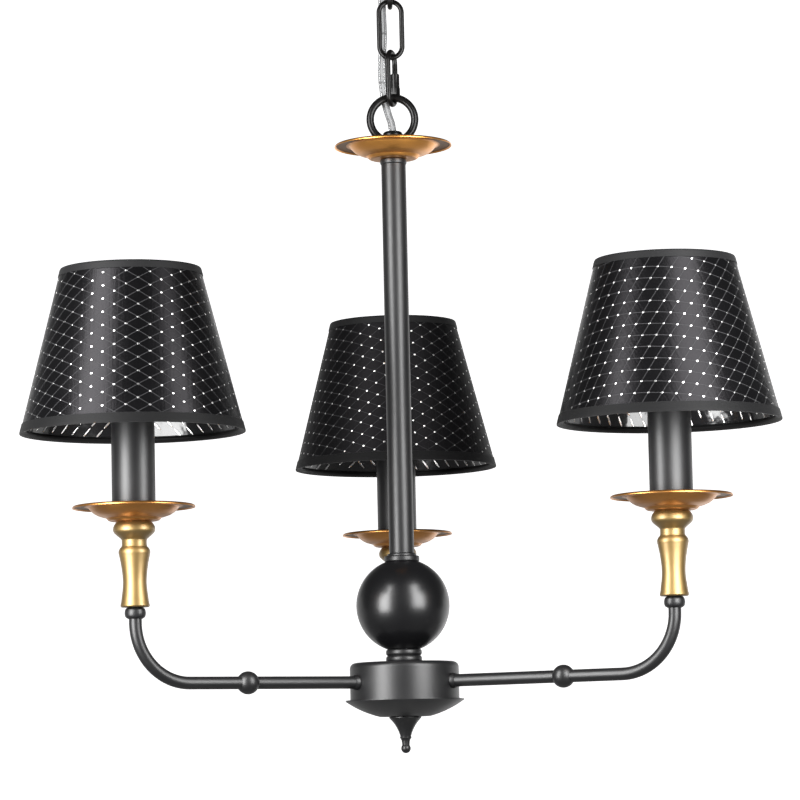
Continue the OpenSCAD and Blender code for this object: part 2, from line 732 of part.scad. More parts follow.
module baluster(k) {
    foot = baluster_foot_d / 2;
    waist = baluster_waist_d / 2;
    shoulder = baluster_shoulder_d / 2;
    neck = baluster_neck_d / 2;
    bulge = baluster_bulge_d / 2;
    top = baluster_top_d / 2;
    neck_top = baluster_neck_z + baluster_neck_l;
    rise_z = (baluster_waist_z + baluster_shoulder_z) / 2 + 1.2;
    body = curve([[foot - 0.5, 0], [foot, 1], [foot - 0.4, 2.8], [(foot + waist) / 2, 6.4],
        [waist, baluster_waist_z], [(waist + shoulder) / 2 - 0.2, rise_z], [shoulder, baluster_shoulder_z],
        [shoulder - 0.7, baluster_shoulder_z + 3]], 3);
    head = curve([[neck, neck_top], [neck + 0.8, neck_top + 1], [bulge - 1.8, baluster_bulge_z - 3],
        [bulge, baluster_bulge_z], [bulge - 0.8, baluster_bulge_z + 2.4], [top, baluster_h]], 3);
    color(brass) at_lamp(k) difference() {
        turned(concat([[0, 0]], body, [[neck, baluster_neck_z]], head, [[0, baluster_h]]), z_baluster);
        translate([0, 0, z_baluster - eps]) cylinder(d = rod_bore, h = baluster_h + 2 * eps);
        translate([0, 0, z_baluster - eps]) cylinder(d = arm_d + 2 * fit, h = nipple_in + pass);
        translate([0, 0, z_pan - nipple_in - pass]) cylinder(d = rod_fit_d, h = nipple_in + pass + eps);
    }
}

module drip_pan(k) {
    color(brass) at_lamp(k) translate([0, 0, z_pan]) dish(rod_hole_d);
}

module candle_sleeve(k) {
    color(black) at_lamp(k) tube(candle_d, candle_bore, candle_h, z_candle);
}

module lamp_nipples() {
    color(steel) for (k = [1:lamp_count]) at_lamp(k)
        tube(rod_d, rod_bore, z_candle + holder_base_h - 2 - (z_pan - nipple_in), z_pan - nipple_in);
}

module lampholders() {
    color("dimgrey") for (k = [1:lamp_count]) at_lamp(k) difference() {
        union() {
            translate([0, 0, z_candle]) cylinder(d = holder_base_d, h = holder_base_h + eps);
            translate([0, 0, z_candle + holder_base_h])
                cylinder(d = holder_d, h = z_holder_top - z_candle - holder_base_h);
        }
        translate([0, 0, z_candle - eps]) cylinder(d = rod_fit_d, h = holder_base_h + eps);
        translate([0, 0, z_holder_top - bulb_cap_h - 1]) cylinder(d = socket_d, h = bulb_cap_h + 2);
    }
}

// Outline of a candle bulb's glass above its cap
function bulb_outline(r, h, cap) = curve([[cap, 0], [r * 0.66, h * 0.14], [r, h * 0.4], [r * 0.8, h * 0.66],
    [r * 0.32, h * 0.9], [0, h]], 4);

module bulbs() {
    cap = bulb_cap_d / 2;
    outer = bulb_outline(bulb_d / 2, bulb_h, cap);
    inner = bulb_outline(bulb_d / 2 - bulb_t, bulb_h - bulb_t, cap - bulb_t);
    color("white") for (k = [1:lamp_count]) at_lamp(k)
        turned(concat([[cap - bulb_t, -bulb_cap_h], [cap, -bulb_cap_h]], outer,
            [for (i = [len(inner) - 1:-1:0]) inner[i]]), z_holder_top);
}

module shade_ring_nuts() {
    color("dimgrey") for (k = [1:lamp_count]) at_lamp(k)
        tube(ring_nut_d, holder_d + 2 * fit, ring_nut_h, z_fitter + fitter_t + rest_gap);
}

module shade_cover(k) {
    in_w = shade_t * shade_lean;
    out_w = trim_t * shade_lean;
    z_low = z_shade + trim_bottom_w;
    z_high = z_shade_top - trim_top_w;
    lower_tape = [[shade_r(z_shade) + out_w, z_shade], [shade_r(z_low) + out_w, z_low]];
    cloth = [[shade_r(z_low), z_low], [shade_r(z_high), z_high]];
    upper_tape = [[shade_r(z_high) + out_w, z_high], [shade_r(z_shade_top) + out_w, z_shade_top]];
    inner = [[shade_r(z_shade_top) - in_w, z_shade_top], [shade_r(z_shade) - in_w, z_shade]];
    color(black) at_lamp(k) turned(concat(lower_tape, cloth, upper_tape, inner));
}

module shade_carrier(k) {
    spoke_foot = [spoke_foot_r, 0, z_fitter + fitter_t / 2];
    spoke_end = [top_ring_r, 0, z_top_ring];
    color("grey") at_lamp(k) rotate(-lamp_angle[k - 1]) {
        translate([0, 0, z_top_ring]) wire_ring(top_ring_r, shade_wire);
        difference() {
            union() {
                translate([0, 0, z_fitter]) cylinder(d = fitter_d, h = fitter_t);
                for (a = [90, 210, 330]) rotate(a) spoke(spoke_foot, spoke_end, spoke_wire);
            }
            translate([0, 0, z_fitter - 1]) cylinder(d = fitter_bore, h = fitter_t + 2);
            translate([0, 0, z_fitter - 2 * spoke_wire])
                cylinder(d = fitter_d + 2 * spoke_wire, h = 2 * spoke_wire);
        }
    }
}

module shade_hem_ring(k) {
    color("grey") at_lamp(k) translate([0, 0, z_hem_ring]) wire_ring(hem_ring_r, shade_wire);
}

mounting_bracket();
ceiling_canopy();
canopy_nipple();
canopy_nuts();
canopy_loop();
ceiling_terminal();
canopy_cord();
chain_link_upper();
chain_link_lower();
quick_link();
quick_link_nut();
for (i = [1:len(cord_routes)]) {
    supply_cord(i);
}
stem_cord();
hanging_loop();
top_dish();
stem_cap();
stem_tube();
stem_foot();
ball();
ball_neck();
hub_cup();
hub_saucer();
finial();
centre_rod();
hub_nut();
crimp_caps();
arm_beads();
arm_ferrules();
arm_nuts();
end_beads();
lampholders();
lamp_nipples();
bulbs();
shade_ring_nuts();
arm_wires();
for (k = [1:lamp_count]) {
    arm(k);
    baluster(k);
    drip_pan(k);
    candle_sleeve(k);
    shade_cover(k);
    shade_carrier(k);
    shade_hem_ring(k);
}
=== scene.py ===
"""Looks of a three-arm chandelier with fabric candle shades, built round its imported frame.

Outlines, routes and the sizes that the operators hold are in millimetres, in the frame's own axes.
Meshes, the settings and the stage are in metres.
"""

import math

import bmesh
import bpy
from bpy.props import FloatProperty, FloatVectorProperty, PointerProperty
from mathutils import Matrix, Vector


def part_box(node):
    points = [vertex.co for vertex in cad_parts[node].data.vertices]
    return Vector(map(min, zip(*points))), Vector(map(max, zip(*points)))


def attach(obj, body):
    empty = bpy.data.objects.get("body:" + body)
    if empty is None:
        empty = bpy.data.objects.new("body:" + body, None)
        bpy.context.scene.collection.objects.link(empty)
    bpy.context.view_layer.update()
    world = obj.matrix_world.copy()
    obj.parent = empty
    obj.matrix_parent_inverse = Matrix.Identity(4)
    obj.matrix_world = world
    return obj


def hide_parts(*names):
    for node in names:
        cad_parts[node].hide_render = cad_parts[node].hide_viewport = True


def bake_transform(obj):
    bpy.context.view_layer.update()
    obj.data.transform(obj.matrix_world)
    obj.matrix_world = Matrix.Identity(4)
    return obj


bl_info = {
    "name": "Chandelier with candle shades",
    "version": (1, 0, 0),
    "blender": (4, 5, 0),
    "location": "3D View > Sidebar > Chandelier",
    "description": "Dresses the chandelier's frame: turned and pressed metal, cloth shades, chain and cord",
    "category": "Object",
}

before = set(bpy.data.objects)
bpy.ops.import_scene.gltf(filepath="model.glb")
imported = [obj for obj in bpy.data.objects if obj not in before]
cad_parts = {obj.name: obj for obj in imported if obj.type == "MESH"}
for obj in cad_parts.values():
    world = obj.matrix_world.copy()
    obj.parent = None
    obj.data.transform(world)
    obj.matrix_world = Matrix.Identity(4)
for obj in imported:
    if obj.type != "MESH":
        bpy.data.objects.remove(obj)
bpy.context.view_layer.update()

MM = 0.001
LAMPS = (1, 2, 3)
FRAME_BODY = "lamp_frame"
CEILING_BODY = "ceiling_mount"
# Radius of the hole that the rod or a nipple passes through
ROD_HOLE = 5.2

CORD_ROUTES = (
    ("supply_cord_1", CEILING_BODY, "upper_link",
     ((0, 0, -47.5), (-0.6, 0.7, -53), (-2.4, 2.6, -59), (-4.6, 4.4, -65), (-5.2, 4.7, -71),
      (-5.2, 4.6, -78.5), (-5.1, 4.4, -86))),
    ("supply_cord_2", "upper_link", "lower_link",
     ((-5.1, 4.4, -86), (-5.1, 4.2, -94), (-5.1, 4.1, -102), (-4.9, 3.9, -111), (-4.7, 3.8, -119.5))),
    ("supply_cord_3", "lower_link", "screw_link",
     ((-4.7, 3.8, -119.5), (-5.1, 3.8, -127), (-5.9, 3.9, -135), (-6.4, 4.1, -143.5), (-6.1, 4.3, -152))),
    ("supply_cord_4", "screw_link", FRAME_BODY,
     ((-6.1, 4.3, -152), (-5.3, 4.6, -159), (-4.3, 4.4, -166), (-2.7, 2.9, -173), (-0.8, 0.9, -179.5),
      (0, 0, -185.3))),
)


def colour_setting(name, description, default):
    return FloatVectorProperty(name=name, description=description, subtype="COLOR", size=3, min=0, max=1,
                               default=default)


def length_setting(name, description, low, high, default):
    return FloatProperty(name=name, description=description, unit="LENGTH", min=low, max=high,
                         default=default)


class FinishSettings(bpy.types.PropertyGroup):
    """Colours of the lamp's finishes"""

    coat: colour_setting("Black coat", "Satin powder coat of the stem, hub and arms", (0.007, 0.007, 0.0075))
    ball: colour_setting("Ball", "Smooth paint of the ball", (0.0035, 0.0035, 0.004))
    chain: colour_setting("Chain", "Enamel of the chain and rings", (0.003, 0.0028, 0.0028))
    pressed: colour_setting("Pressed brass", "Antique brass of the dish under the ring", (0.80, 0.355, 0.073))
    # Painted shade: the pans' brass is the dish's brass made darker, so that the pans look less lit
    pan: colour_setting("Pan brass", "Darker brass of the drip pans", (0.51, 0.222, 0.051))
    turned: colour_setting("Turned brass", "Paler brass of the balusters", (0.26, 0.172, 0.062))
    cloth: colour_setting("Cloth", "Satin ground of the shades", (0.002, 0.002, 0.0022))
    thread: colour_setting("Net thread", "Thin lines of the cloth's net", (0.028, 0.028, 0.029))
    tape: colour_setting("Edge tape", "Tape on the shades' edges", (0.006, 0.006, 0.0066))
    silver: colour_setting("Silver thread", "Dots outside and floats inside the shades", (0.80, 0.79, 0.78))


class ShadeSettings(bpy.types.PropertyGroup):
    """Sizes of the cloth's pattern"""

    column_pitch: length_setting("Column pitch", "Distance between columns of dots", 0.004, 0.02, 0.00725)
    dot_pitch: length_setting("Dot pitch", "Distance between dots in a column", 0.004, 0.02, 0.0087)
    dot_width: length_setting("Dot width", "Width of a dot", 0.0005, 0.004, 0.0015)
    dot_height: length_setting("Dot height", "Height of a dot along its column", 0.0005, 0.004, 0.0012)
    float_width: length_setting("Float width", "Width of a silver float on the lining", 0.0005, 0.004, 0.0013)
    line_width: length_setting("Line width", "Width of the net's lines", 0.0001, 0.001, 0.00034)
    turn: FloatVectorProperty(name="Pattern turn", description="Azimuth of the cloth's middle on each shade",
                              unit="ROTATION", size=3,
                              default=(math.radians(-90), math.radians(11.5), math.radians(-66)))


class StageSettings(bpy.types.PropertyGroup):
    """Studio round the lamp"""

    backdrop: FloatProperty(name="Backdrop", description="Brightness of the white backdrop",
                            min=0, max=4, default=1.0)
    floor: FloatProperty(name="Floor glow", description="Brightness of the floor", min=0, max=2, default=0.12)
    sides: FloatVectorProperty(name="Side glow", description="Brightness of the paper at the left and right",
                               size=2, min=0, max=2, default=(0.55, 1.05))
    room: FloatProperty(name="Room", description="Brightness of the room", min=0, max=2, default=0.06)
    left: FloatVectorProperty(name="Left softbox", description="Middle of the left softbox",
                              subtype="TRANSLATION", size=3, default=(-0.44, -0.42, -0.29))
    right: FloatVectorProperty(name="Right softbox", description="Middle of the right softbox",
                               subtype="TRANSLATION", size=3, default=(0.29, -0.375, -0.285))
    left_power: FloatProperty(name="Left power", description="Power of the left softbox in watts",
                              min=0, max=500, default=12.4)
    right_power: FloatProperty(name="Right power", description="Power of the right softbox in watts",
                               min=0, max=500, default=6.4)
    left_size: FloatVectorProperty(name="Left size", description="Width and height of the left softbox",
                                   unit="LENGTH", size=2, min=0.1, max=4, default=(0.27, 0.72))
    right_size: FloatVectorProperty(name="Right size", description="Width and height of the right softbox",
                                    unit="LENGTH", size=2, min=0.1, max=4, default=(0.24, 0.54))
    depth: length_setting("Depth", "Distance of the backdrop behind the stem", 1, 12, 6.0)
    drop: length_setting("Floor drop", "Distance of the floor below the ceiling", 0.8, 4, 1.9)


class ViewSettings(bpy.types.PropertyGroup):
    """Camera of the main view"""

    place: FloatVectorProperty(name="Place", description="Camera's place", subtype="TRANSLATION", size=3,
                               default=(-0.0349, -2.3757, -0.6148))
    pitch: FloatProperty(name="Pitch", description="Upward tilt", unit="ROTATION", default=0.1064)
    turn: FloatProperty(name="Turn", description="Turn about the vertical", unit="ROTATION", default=0.0151)
    roll: FloatProperty(name="Roll", description="Lean of the camera", unit="ROTATION", default=-0.0216)
    lens: FloatProperty(name="Lens", description="Focal length in millimetres",
                        min=20, max=400, default=166.4)


class ChandelierSettings(bpy.types.PropertyGroup):
    """Everything that a user may change"""

    finish: PointerProperty(type=FinishSettings)
    shade: PointerProperty(type=ShadeSettings)
    stage: PointerProperty(type=StageSettings)
    view: PointerProperty(type=ViewSettings)


def settings():
    return bpy.context.scene.chandelier


# Outlines and routes


def arc(centre, radius, start, end, steps):
    """Points on an arc, angles in degrees"""
    angles = [math.radians(start + (end - start) * i / steps) for i in range(steps + 1)]
    return [(centre[0] + radius * math.cos(a), centre[1] + radius * math.sin(a)) for a in angles]


def hoop(centre, radius, z, steps):
    """Level circle of points"""
    return [(x, y, z) for x, y in arc(centre, radius, 0, 360, steps)[:-1]]


def thread(root, crest, low, high, pitch):
    """Zigzag outline of a thread"""
    found, z = [], low
    while z < high:
        found += [(root, z), (crest, z + pitch / 2)]
        z += pitch
    return found


def smooth(knots, steps):
    """Smooth curve through knots of any dimension"""
    found = []
    last = len(knots) - 1
    for i in range(last):
        a, b, c, d = (knots[max(0, min(last, i + k))] for k in (-1, 0, 1, 2))
        for j in range(steps):
            t = j / steps
            found.append(tuple(
                0.5 * (2 * q + (r - p) * t + (2 * p - 5 * q + 4 * r - s) * t * t
                       + (3 * q - p - 3 * r + s) * t ** 3)
                for p, q, r, s in zip(a, b, c, d)))
    return found + [tuple(knots[last])]


def eased(points, radius):
    """Closed outline with its corners rounded"""
    found = []
    n, steps = len(points), 4
    for i in range(n):
        p = Vector(points[i])
        a, b = Vector(points[i - 1]) - p, Vector(points[(i + 1) % n]) - p
        reach = min(radius, a.length * 0.45, b.length * 0.45)
        if p.x < 1e-6 or reach < 1e-4 or a.angle(b) > math.radians(160):
            found.append((p.x, p.y))
            continue
        start, end = p + a.normalized() * reach, p + b.normalized() * reach
        for k in range(steps + 1):
            t = k / steps
            q = start * (1 - t) ** 2 + p * 2 * t * (1 - t) + end * t * t
            found.append((q.x, q.y))
    return found


def collar(bore, outer, tall, edge):
    """Outline of a plain tube or ring with eased edges"""
    return eased([(bore, 0), (outer, 0), (outer, tall), (bore, tall)], edge)


def revolve(outline, centre, base, steps):
    """Closed outline of (radius, height) turned about an upright axis"""
    verts, faces, rings = [], [], []
    for r, z in outline:
        if r < 1e-6:
            rings.append([len(verts)] * steps)
            verts.append((centre[0], centre[1], base + z))
            continue
        rings.append(list(range(len(verts), len(verts) + steps)))
        for i in range(steps):
            a = 2 * math.pi * i / steps
            verts.append((centre[0] + r * math.cos(a), centre[1] + r * math.sin(a), base + z))
    for j in range(len(rings)):
        low, high = rings[j], rings[(j + 1) % len(rings)]
        for i in range(steps):
            k = (i + 1) % steps
            corners = list(dict.fromkeys((low[i], low[k], high[k], high[i])))
            if len(corners) > 2:
                faces.append(corners)
    return verts, faces


def turned_to(part, origin, direction):
    """Part made about +Z, laid along a direction from an origin"""
    turn = Vector((0, 0, 1)).rotation_difference(Vector(direction)).to_matrix()
    return [tuple(turn @ Vector(v) + Vector(origin)) for v in part[0]], part[1]


def spun(part, angle, centre=(0, 0)):
    """Part turned about an upright axis, angle in degrees"""
    c, s = math.cos(math.radians(angle)), math.sin(math.radians(angle))
    moved = []
    for x, y, z in part[0]:
        dx, dy = x - centre[0], y - centre[1]
        moved.append((centre[0] + c * dx - s * dy, centre[1] + s * dx + c * dy, z))
    return moved, part[1]


def prism(outline, low, high, centre):
    """Upright prism of a closed plan outline"""
    n = len(outline)
    verts = [(centre[0] + x, centre[1] + y, z) for z in (low, high) for x, y in outline]
    faces = [list(range(n))[::-1], list(range(n, 2 * n))]
    faces += [[i, (i + 1) % n, n + (i + 1) % n, n + i] for i in range(n)]
    return verts, faces


def band_faces(rings, steps):
    """Faces between neighbouring rings, and from the last ring back to the first"""
    faces = []
    for j in range(rings):
        q = (j + 1) % rings
        for i in range(steps):
            k = (i + 1) % steps
            faces.append([j * steps + i, j * steps + k, q * steps + k, q * steps + i])
    return faces


def banded(rings, centre, steps):
    """Closed band through rings of (radius, height); a radius may be a rule for each step"""
    verts = []
    for radius, z in rings:
        for i in range(steps):
            r = radius(i) if callable(radius) else radius
            a = 2 * math.pi * i / steps
            verts.append((centre[0] + r * math.cos(a), centre[1] + r * math.sin(a), z))
    return verts, band_faces(len(rings), steps)


def strand(route, section):
    """Section of (x, y) carried along a route that runs mostly upright"""
    verts, faces = [], []
    n = len(section)
    for p in route:
        verts += [(p[0] + x, p[1] + y, p[2]) for x, y in section]
    for j in range(len(route) - 1):
        for i in range(n):
            k = (i + 1) % n
            faces.append([j * n + i, j * n + k, (j + 1) * n + k, (j + 1) * n + i])
    faces.append(list(range(n)))
    faces.append(list(range((len(route) - 1) * n, len(route) * n))[::-1])
    return verts, faces


# Pieces


def plain_mesh(name, parts):
    """Mesh in metres from parts in millimetres, with its doubles merged and its faces outwards"""
    shape = bmesh.new()
    for verts, faces in parts:
        made = [shape.verts.new((x * MM, y * MM, z * MM)) for x, y, z in verts]
        for f in faces:
            shape.faces.new([made[i] for i in f])
    bmesh.ops.remove_doubles(shape, verts=shape.verts, dist=1e-7)
    bmesh.ops.recalc_face_normals(shape, faces=shape.faces)
    mesh = bpy.data.meshes.new(name)
    shape.to_mesh(mesh)
    shape.free()
    return mesh


def shaded(mesh, angle=32):
    mesh.shade_smooth()
    mesh.set_sharp_from_angle(angle=math.radians(angle))
    return mesh


def linked(name, mesh):
    found = bpy.data.objects.new(name, mesh)
    bpy.context.scene.collection.objects.link(found)
    return found


def carried(piece, body, finish, nodes=()):
    """Gives a piece its finish, its body and the nodes that it stands for"""
    piece.data.materials.clear()
    piece.data.materials.append(finish)
    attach(piece, body)
    if nodes:
        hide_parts(*nodes)
    return piece


def made(name, parts, body, slot, finish, nodes=(), angle=32):
    return carried(linked(name, shaded(plain_mesh(name, parts), angle)), body, finish, nodes)


def fused(name, first, second):
    """Union of two closed parts as one mesh"""
    a = linked(name, plain_mesh(name, [first]))
    b = linked(name + "_other", plain_mesh(name + "_other", [second]))
    join = a.modifiers.new("join", "BOOLEAN")
    join.operation = "UNION"
    join.solver = "EXACT"
    join.object = b
    mesh = evaluated(a)
    a.modifiers.clear()
    old = a.data
    a.data = mesh
    bpy.data.meshes.remove(old)
    bpy.data.objects.remove(b)
    shaded(mesh)
    return a


def evaluated(piece):
    """Plain mesh of a piece with its modifiers"""
    bpy.context.view_layer.update()
    graph = bpy.context.evaluated_depsgraph_get()
    return bpy.data.meshes.new_from_object(piece.evaluated_get(graph))


def painted(finish, *nodes):
    """Gives solids of the frame a finish"""
    for n in nodes:
        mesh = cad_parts[n].data
        mesh.materials.clear()
        mesh.materials.append(finish)


def heights(node):
    low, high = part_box(node)
    return low.z / MM, high.z / MM


def middle(node):
    low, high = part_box(node)
    return (low.x + high.x) / 2 / MM, (low.y + high.y) / 2 / MM


# Trees that repeat a mark on cloth and carry a wire along a path


def join(tree, *links):
    """Links of (node, its output, node, its input)"""
    for giver, output, taker, target in links:
        tree.links.new(giver.outputs[output], taker.inputs[target])


def tree_with(name, inputs):
    tree = bpy.data.node_groups.new(name, "GeometryNodeTree")
    tree.interface.new_socket("Geometry", in_out="INPUT", socket_type="NodeSocketGeometry")
    for label, kind in inputs:
        tree.interface.new_socket(label, in_out="INPUT", socket_type=kind)
    tree.interface.new_socket("Geometry", in_out="OUTPUT", socket_type="NodeSocketGeometry")
    return tree, tree.nodes.new("NodeGroupInput"), tree.nodes.new("NodeGroupOutput")


def marks_tree():
    """Flattened beads on points, laid by the points' own out and along directions"""
    found = bpy.data.node_groups.get("marks on cloth")
    if found:
        return found
    tree, given, out = tree_with("marks on cloth", (
        ("Width", "NodeSocketFloat"), ("Length", "NodeSocketFloat"), ("Height", "NodeSocketFloat"),
        ("Finish", "NodeSocketMaterial")))
    new = tree.nodes.new
    bead = new("GeometryNodeMeshUVSphere")
    bead.inputs["Segments"].default_value = 10
    bead.inputs["Rings"].default_value = 6
    bead.inputs["Radius"].default_value = 0.5
    size = new("ShaderNodeCombineXYZ")
    flat = new("GeometryNodeTransform")
    join(tree, (given, "Width", size, "X"), (given, "Length", size, "Y"), (given, "Height", size, "Z"),
         (bead, "Mesh", flat, "Geometry"), (size, "Vector", flat, "Scale"))
    turns = []
    for label, axis, pivot in (("out", "Z", "AUTO"), ("along", "Y", "Z")):
        read = new("GeometryNodeInputNamedAttribute")
        read.data_type = "FLOAT_VECTOR"
        read.inputs["Name"].default_value = label
        turn = new("FunctionNodeAlignRotationToVector")
        turn.axis = axis
        turn.pivot_axis = pivot
        join(tree, (read, "Attribute", turn, "Vector"))
        if turns:
            join(tree, (turns[-1], "Rotation", turn, "Rotation"))
        turns.append(turn)
    points = new("GeometryNodeMeshToPoints")
    place = new("GeometryNodeInstanceOnPoints")
    real = new("GeometryNodeRealizeInstances")
    soft = new("GeometryNodeSetShadeSmooth")
    coat = new("GeometryNodeSetMaterial")
    join(tree, (given, "Geometry", points, "Mesh"), (points, "Points", place, "Points"),
         (flat, "Geometry", place, "Instance"), (turns[-1], "Rotation", place, "Rotation"),
         (place, "Instances", real, "Geometry"), (real, "Geometry", soft, "Geometry"),
         (soft, "Geometry", coat, "Geometry"), (given, "Finish", coat, "Material"),
         (coat, "Geometry", out, "Geometry"))
    return tree


def wire_tree():
    """Round wire or tube along the edges of a path"""
    found = bpy.data.node_groups.get("wire along path")
    if found:
        return found
    tree, given, out = tree_with("wire along path", (
        ("Radius", "NodeSocketFloat"), ("Sides", "NodeSocketInt"), ("Finish", "NodeSocketMaterial")))
    new = tree.nodes.new
    path = new("GeometryNodeMeshToCurve")
    ring = new("GeometryNodeCurvePrimitiveCircle")
    body = new("GeometryNodeCurveToMesh")
    body.inputs["Fill Caps"].default_value = True
    real = new("GeometryNodeRealizeInstances")
    coat = new("GeometryNodeSetMaterial")
    join(tree, (given, "Geometry", path, "Mesh"), (given, "Radius", ring, "Radius"),
         (given, "Sides", ring, "Resolution"), (path, "Curve", body, "Curve"),
         (ring, "Curve", body, "Profile Curve"), (body, "Mesh", real, "Geometry"),
         (real, "Geometry", coat, "Geometry"), (given, "Finish", coat, "Material"),
         (coat, "Geometry", out, "Geometry"))
    return tree


def grown(name, seed_mesh, tree, values):
    """Piece grown by a tree from a seed mesh, as a plain mesh"""
    piece = linked(name, seed_mesh)
    grow = piece.modifiers.new("grow", "NODES")
    grow.node_group = tree
    for item in tree.interface.items_tree:
        if item.in_out == "INPUT" and item.name in values:
            grow[item.identifier] = values[item.name]
    mesh = evaluated(piece)
    piece.modifiers.clear()
    piece.data = mesh
    bpy.data.meshes.remove(seed_mesh)
    mesh.name = name
    return piece


def wire(name, paths, radius, finish, sides):
    """Piece of round wire along paths in millimetres; a path is (points, closed)"""
    verts, edges = [], []
    for points, closed in paths:
        first = len(verts)
        verts += [(x * MM, y * MM, z * MM) for x, y, z in points]
        edges += [(i, i + 1) for i in range(first, len(verts) - 1)]
        if closed:
            edges.append((len(verts) - 1, first))
    seed_mesh = bpy.data.meshes.new(name + "_path")
    seed_mesh.from_pydata(verts, edges, [])
    piece = grown(name, seed_mesh, wire_tree(), {"Radius": radius * MM, "Sides": sides, "Finish": finish})
    shape = bmesh.new()
    shape.from_mesh(piece.data)
    bmesh.ops.recalc_face_normals(shape, faces=shape.faces)
    shape.to_mesh(piece.data)
    shape.free()
    shaded(piece.data, 50)
    return piece


# Shader groups and finishes


def shader_group(name, inputs, outputs):
    tree = bpy.data.node_groups.new(name, "ShaderNodeTree")
    for label, kind, value in inputs:
        socket = tree.interface.new_socket(label, in_out="INPUT", socket_type=kind)
        socket.default_value = value
    for label, kind in outputs:
        tree.interface.new_socket(label, in_out="OUTPUT", socket_type=kind)
    return tree, tree.nodes.new("NodeGroupInput"), tree.nodes.new("NodeGroupOutput")


def math_node(tree, operation, a, b=None, c=None):
    """Math node with sockets or numbers as its inputs; gives its output"""
    node = tree.nodes.new("ShaderNodeMath")
    node.operation = operation
    for i, value in enumerate((a, b, c)):
        if value is None:
            continue
        if isinstance(value, (int, float)):
            node.inputs[i].default_value = value
        else:
            tree.links.new(value, node.inputs[i])
    return node.outputs[0]


def noise(tree, where, scale, detail):
    """Noise texture with a socket or a number as its scale; gives its output"""
    node = tree.nodes.new("ShaderNodeTexNoise")
    tree.links.new(where, node.inputs["Vector"])
    if isinstance(scale, (int, float)):
        node.inputs["Scale"].default_value = scale
    else:
        tree.links.new(scale, node.inputs["Scale"])
    node.inputs["Detail"].default_value = detail
    return node.outputs["Fac"]


def coat_group():
    """Cloudy tone, uneven gloss and fine grain of a coated surface"""
    found = bpy.data.node_groups.get("coated surface")
    if found:
        return found
    tree, given, out = shader_group("coated surface", (
        ("Colour", "NodeSocketColor", (0.1, 0.1, 0.1, 1)), ("Tone", "NodeSocketFloat", 0.2),
        ("Gloss", "NodeSocketFloat", 0.4), ("Uneven", "NodeSocketFloat", 0.1),
        ("Grain", "NodeSocketFloat", 2000.0)), (
        ("Colour", "NodeSocketColor"), ("Roughness", "NodeSocketFloat"), ("Height", "NodeSocketFloat")))
    where = tree.nodes.new("ShaderNodeTexCoord").outputs["Object"]
    cloud = noise(tree, where, 60.0, 4.0)
    speck = noise(tree, where, given.outputs["Grain"], 2.0)
    both = math_node(tree, "ADD", math_node(tree, "MULTIPLY", cloud, 0.6),
                     math_node(tree, "MULTIPLY", speck, 0.4))
    centred = math_node(tree, "SUBTRACT", both, 0.5)
    tone = math_node(tree, "MULTIPLY_ADD", centred, given.outputs["Tone"], 1.0)
    shade = tree.nodes.new("ShaderNodeVectorMath")
    shade.operation = "SCALE"
    tree.links.new(given.outputs["Colour"], shade.inputs[0])
    tree.links.new(tone, shade.inputs["Scale"])
    tree.links.new(shade.outputs[0], out.inputs["Colour"])
    tree.links.new(math_node(tree, "MULTIPLY_ADD", centred, given.outputs["Uneven"], given.outputs["Gloss"]),
                   out.inputs["Roughness"])
    tree.links.new(speck, out.inputs["Height"])
    return tree


def net_group():
    """Net of crossing lines on the cloth's flat pattern, with its weave"""
    found = bpy.data.node_groups.get("cloth net")
    if found:
        return found
    slant = 0.857
    tree, given, out = shader_group("cloth net", (
        ("Column Pitch", "NodeSocketFloat", 0.00725), ("Dot Pitch", "NodeSocketFloat", 0.0087),
        ("Line Width", "NodeSocketFloat", 0.0003)), (
        ("Line", "NodeSocketFloat"), ("Weave", "NodeSocketFloat"), ("Cloud", "NodeSocketFloat")))
    uv = tree.nodes.new("ShaderNodeUVMap")
    uv.uv_map = "flat"
    parts = tree.nodes.new("ShaderNodeSeparateXYZ")
    tree.links.new(uv.outputs["UV"], parts.inputs[0])
    a = math_node(tree, "DIVIDE", parts.outputs["X"], given.outputs["Column Pitch"])
    b = math_node(tree, "DIVIDE", parts.outputs["Y"], given.outputs["Dot Pitch"])
    half = math_node(tree, "MULTIPLY", a, 0.5)
    lines = []
    for side in ("ADD", "SUBTRACT"):
        t = math_node(tree, "FRACT", math_node(tree, "ADD", math_node(tree, side, b, half), 1000.5))
        gap = math_node(tree, "ABSOLUTE", math_node(tree, "SUBTRACT", t, 0.5))
        upright = math_node(tree, "MULTIPLY", gap, given.outputs["Dot Pitch"])
        away = math_node(tree, "MULTIPLY", upright, slant)
        ramp = tree.nodes.new("ShaderNodeMapRange")
        ramp.interpolation_type = "SMOOTHSTEP"
        tree.links.new(away, ramp.inputs["Value"])
        for end, share in (("From Min", 0.35), ("From Max", 0.65)):
            tree.links.new(math_node(tree, "MULTIPLY", given.outputs["Line Width"], share), ramp.inputs[end])
        ramp.inputs["To Min"].default_value = 1.0
        ramp.inputs["To Max"].default_value = 0.0
        lines.append(ramp.outputs["Result"])
    tree.links.new(math_node(tree, "MAXIMUM", *lines), out.inputs["Line"])
    for label, along, scale, detail in (("Weave", 0.28, 2600.0, 2.0), ("Cloud", 0.06, 560.0, 3.0)):
        streak = tree.nodes.new("ShaderNodeMapping")
        streak.inputs["Scale"].default_value = (1.0, along, 1.0)
        tree.links.new(uv.outputs["UV"], streak.inputs["Vector"])
        tree.links.new(noise(tree, streak.outputs["Vector"], scale, detail), out.inputs[label])
    return tree


def new_finish(name, **sockets):
    """Material with a Principled shader; gives the material, its tree and the shader"""
    found = bpy.data.materials.new(name)
    found.use_nodes = True
    tree = found.node_tree
    shader = tree.nodes["Principled BSDF"]
    for label, value in sockets.items():
        shader.inputs[label.replace("_", " ")].default_value = value
    return found, tree, shader


